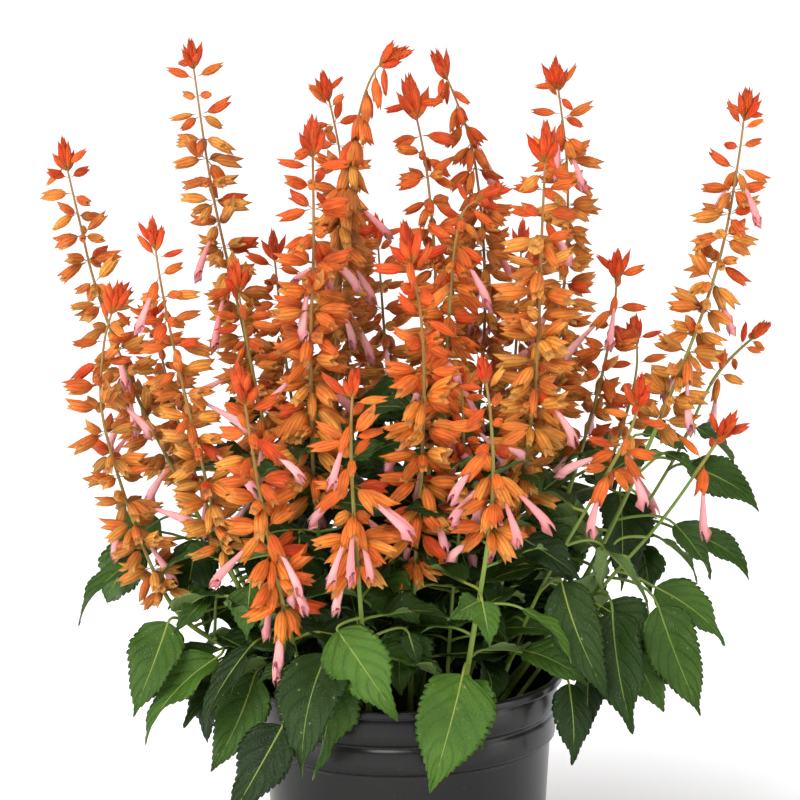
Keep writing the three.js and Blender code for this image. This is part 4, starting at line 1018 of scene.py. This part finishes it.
def leafSkin(name, upper):
    sheet = Sheet(name)
    u, t, lateral = sheet.parts("place")
    # The middle mark sets how light the green is: painted light on front leaves, painted shade on leaves
    # inside the plant, random tone on the rest.
    tone, ageAndShade, length = sheet.parts("mark")
    mask, gap = veins(sheet, u, t, lateral, length, tone * 9)
    spot = sheet.where()
    broad = sheet.noise(spot, 38, 2)
    cells = {"Vector": spot, "Scale": 620.0}
    fine = sheet.node("ShaderNodeTexVoronoi", {"feature": "DISTANCE_TO_EDGE"}, cells, "Distance")
    net = sheet.step(fine, 0.10, 0.02)
    if upper:
        color = sheet.tint(ageAndShade, (0.006, 0.018, 0.003), (0.046, 0.115, 0.011))
        # A lighter green on the swellings away from the veins: painted light on the raised crowns, with the
        # hollows by the veins left dark as painted shade; the fine net takes a little of it too.
        litPillow = sheet.tint(ageAndShade, (0.014, 0.036, 0.005), (0.080, 0.175, 0.018))
        color = sheet.tint(sheet.step(gap, -1.2, 3.4) * sheet.step(broad, 0.2, 0.7), color, litPillow)
        color = sheet.tint(net * 0.2, color, litPillow)
        color = sheet.tint(mask * 0.3, color, sheet.tint(ageAndShade, (0.08, 0.16, 0.03), (0.17, 0.28, 0.06)))
        flecks = sheet.specks(spot, 85.0)
        color = sheet.tint(sheet.step(flecks, 0.075, 0.04) * 0.45, color, (0.34, 0.38, 0.20))
        height = fine * 1.0 - mask * 0.6 + sheet.step(gap, 0.0, 3.2) * 0.55 + broad * 1.6
        rough, strength = 0.40, 0.6
    else:
        color = sheet.tint(ageAndShade, (0.10, 0.17, 0.045), (0.17, 0.27, 0.08))
        color = sheet.tint(net * 0.3, color, (0.20, 0.29, 0.10))
        color = sheet.tint(mask * 0.7, color, (0.28, 0.38, 0.14))
        height = fine * -0.8 + mask * 1.2
        rough, strength = 0.62, 0.6
    normal = sheet.bump(height, strength, 0.0011)
    return sheet.finish({"Base Color": color, "Roughness": broad * 0.2 + (rough - 0.1), "Normal": normal,
                         "Specular IOR Level": 0.2})


def potSkin():
    sheet = Sheet("blackPlastic")
    spot = sheet.where()
    x, y, z = (sheet.node("ShaderNodeSeparateXYZ", {}, {0: spot}, k) for k in "XYZ")
    cloud = sheet.noise(spot, 14, 3)
    grain = sheet.noise(spot, 900, 2)
    around = sheet.node("ShaderNodeMath", {"operation": "ARCTAN2"}, {0: y, 1: x})
    scratch = sheet.noise(sheet.vector(around * 9 + z * 30, z * 160, 0.0), 6.0, 4)
    lines = sheet.step(scratch, 0.66, 0.72)
    dust = sheet.step(sheet.specks(spot, 95.0), 0.085, 0.03)
    color = sheet.tint(cloud, (0.007, 0.007, 0.0072), (0.013, 0.0125, 0.012))
    color = sheet.tint(lines * 0.12 + dust * 0.2, color, (0.20, 0.19, 0.18))
    rough = cloud * 0.12 + lines * 0.12 + 0.2
    normal = sheet.bump(grain * 0.6 + cloud * 0.5 - lines * 0.6, 0.12, 0.0004)
    return sheet.finish({"Base Color": color, "Roughness": rough, "Normal": normal,
                         "Specular IOR Level": 0.25})


def soilSkin():
    sheet = Sheet("dampPeat")
    spot = sheet.where()
    grain, clod = sheet.noise(spot, 320, 6), sheet.noise(spot, 70, 3)
    color = sheet.tint(sheet.step(grain, 0.3, 0.75), (0.008, 0.005, 0.0035), (0.060, 0.034, 0.019))
    color = sheet.tint(sheet.step(clod, 0.5, 0.8) * 0.5, color, (0.09, 0.05, 0.026))
    return sheet.finish({"Base Color": color, "Roughness": grain * 0.2 + 0.72,
                         "Normal": sheet.bump(grain + clod * 0.6, 0.9, 0.002)})


def barkSkin():
    sheet = Sheet("barkBits")
    spot = sheet.where()
    tone = sheet.parts("mark")[0]
    grain = sheet.noise(spot, 420, 5)
    color = sheet.tint(tone, (0.030, 0.014, 0.007), (0.17, 0.075, 0.034))
    color = sheet.tint(sheet.step(grain, 0.45, 0.7) * 0.5, color, (0.012, 0.007, 0.005))
    return sheet.finish({"Base Color": color, "Roughness": 0.75, "Normal": sheet.bump(grain, 0.8, 0.001)})


# The floor brightens to white further out, as a lit paper sweep does.
def floorSkin():
    sheet = Sheet("paleFloor")
    spot = sheet.where()
    cloud = sheet.noise(spot, 2, 2)
    reach = sheet.node("ShaderNodeVectorMath", {"operation": "LENGTH"}, {0: spot}, "Value")
    color = sheet.tint(cloud, (0.86, 0.86, 0.87), (0.88, 0.88, 0.89))
    glow = sheet.tint(sheet.step(reach, 0.16, 0.7), (0.0, 0.0, 0.0), (0.72, 0.72, 0.73))
    glow = sheet.tint(sheet.step(reach, 0.6, 3.0), glow, (1.02, 1.02, 1.03))
    return sheet.finish({"Base Color": color, "Roughness": 0.8, "Emission Color": glow,
                         "Emission Strength": 1.0})


# Everything is made here.
petals = [calyxSkin(), blossomSkin(), flowerStalkSkin()]
greens = [leafSkin("leafTop", True), leafSkin("leafUnderside", False), stemSkin()]
makePot(potSkin())
makeSoil(soilSkin(), barkSkin())
print("pot and soil made")
placed = placedLeaves()
for n in range(len(shoots)):
    leafyShoot(n, placed).make(greens, "foliage", f"leafy_shoot_{n + 1:02d}")
print("leafy shoots made with", len(placed), "leaves")
for n in range(len(shoots)):
    flowerSpike(n).make(petals, "flower", f"flower_spike_{n + 1:02d}")
print("flower spikes made")

# Floor, lights and camera, in metres.
studio = {"floorRadius": 30, "horizon": 1.05, "zenith": 0.17, "key": 70, "side": 7, "top": 18,
          "floorSides": 96, "lens": 116.2, "camera": (0, -1.6, 0.610), "aim": (0, 0, 0.364), "tilt": -1.2}


def makeFloor():
    angle = angles(studio["floorSides"])
    r = np.array([0.4, 1, 3, 10, studio["floorRadius"]])[:, None] * 1000
    rings = around(r, angle, -0.2)
    mesh = bpy.data.meshes.new("paleFloor")
    faces = tubeFaces(*rings.shape[:2])
    points = np.vstack([rings.reshape(-1, 3), [[0, 0, -0.2]]]) * 0.001
    mesh.from_pydata(points, [], faces[0].tolist() + faces[1][:, ::-1].tolist())
    mesh.materials.append(floorSkin())
    floor = bpy.data.objects.new("paleFloor", mesh)
    bpy.context.scene.collection.objects.link(floor)


def areaLight(name, at, aim, wide, high, power):
    lamp = bpy.data.lights.new(name, "AREA")
    lamp.shape, lamp.size, lamp.size_y, lamp.energy = "RECTANGLE", wide, high, power
    lamp.color = (1, 0.985, 0.96)
    light = bpy.data.objects.new(name, lamp)
    light.location = at
    light.rotation_euler = (Vector(aim) - Vector(at)).to_track_quat("-Z", "Y").to_euler()
    bpy.context.scene.collection.objects.link(light)


makeFloor()
areaLight("keyLight", (-0.9, -2.0, 2.0), (0, 0, 0.35), 1.6, 1.2, studio["key"])
areaLight("leftPanel", (-1.5, -0.5, 0.5), (0, 0, 0.2), 0.5, 1.3, studio["side"])
areaLight("rightPanel", (1.5, -0.5, 0.5), (0, 0, 0.2), 0.5, 1.3, studio["side"])
areaLight("topLight", (0.3, 0.3, 2.3), (0, 0, 0.3), 1.6, 1.6, studio["top"])
# The surroundings are white at the horizon and dimmer overhead.
world = bpy.data.worlds.new("paleStudio")
world.use_nodes = True
sky = Sheet("paleStudio", world.node_tree)
height = sky.node("ShaderNodeSeparateXYZ", {}, {0: sky.node("ShaderNodeTexCoord", {}, {}, "Generated")}, "Z")
strength = sky.step(height, 0.03, 0.3) * (studio["zenith"] - studio["horizon"]) + studio["horizon"]
sky.tree.links.new(strength.socket, sky.tree.nodes["Background"].inputs["Strength"])
sky.tree.nodes["Background"].inputs["Color"].default_value = (1, 1, 1, 1)
bpy.context.scene.world = world
bpy.context.scene.view_settings.view_transform = "Standard"

lens = bpy.data.cameras.new("camera")
lens.lens, lens.sensor_width, lens.clip_end = studio["lens"], 36, 100
camera = bpy.data.objects.new("camera", lens)
stand, aim = Vector(studio["camera"]), Vector(studio["aim"])
facing = (aim - stand).to_track_quat("-Z", "Y").to_matrix().to_4x4()
level = Matrix.Rotation(math.radians(studio["tilt"]), 4, "Z")
camera.matrix_world = Matrix.Translation(stand) @ facing @ level
bpy.context.scene.collection.objects.link(camera)
bpy.context.scene.camera = camera
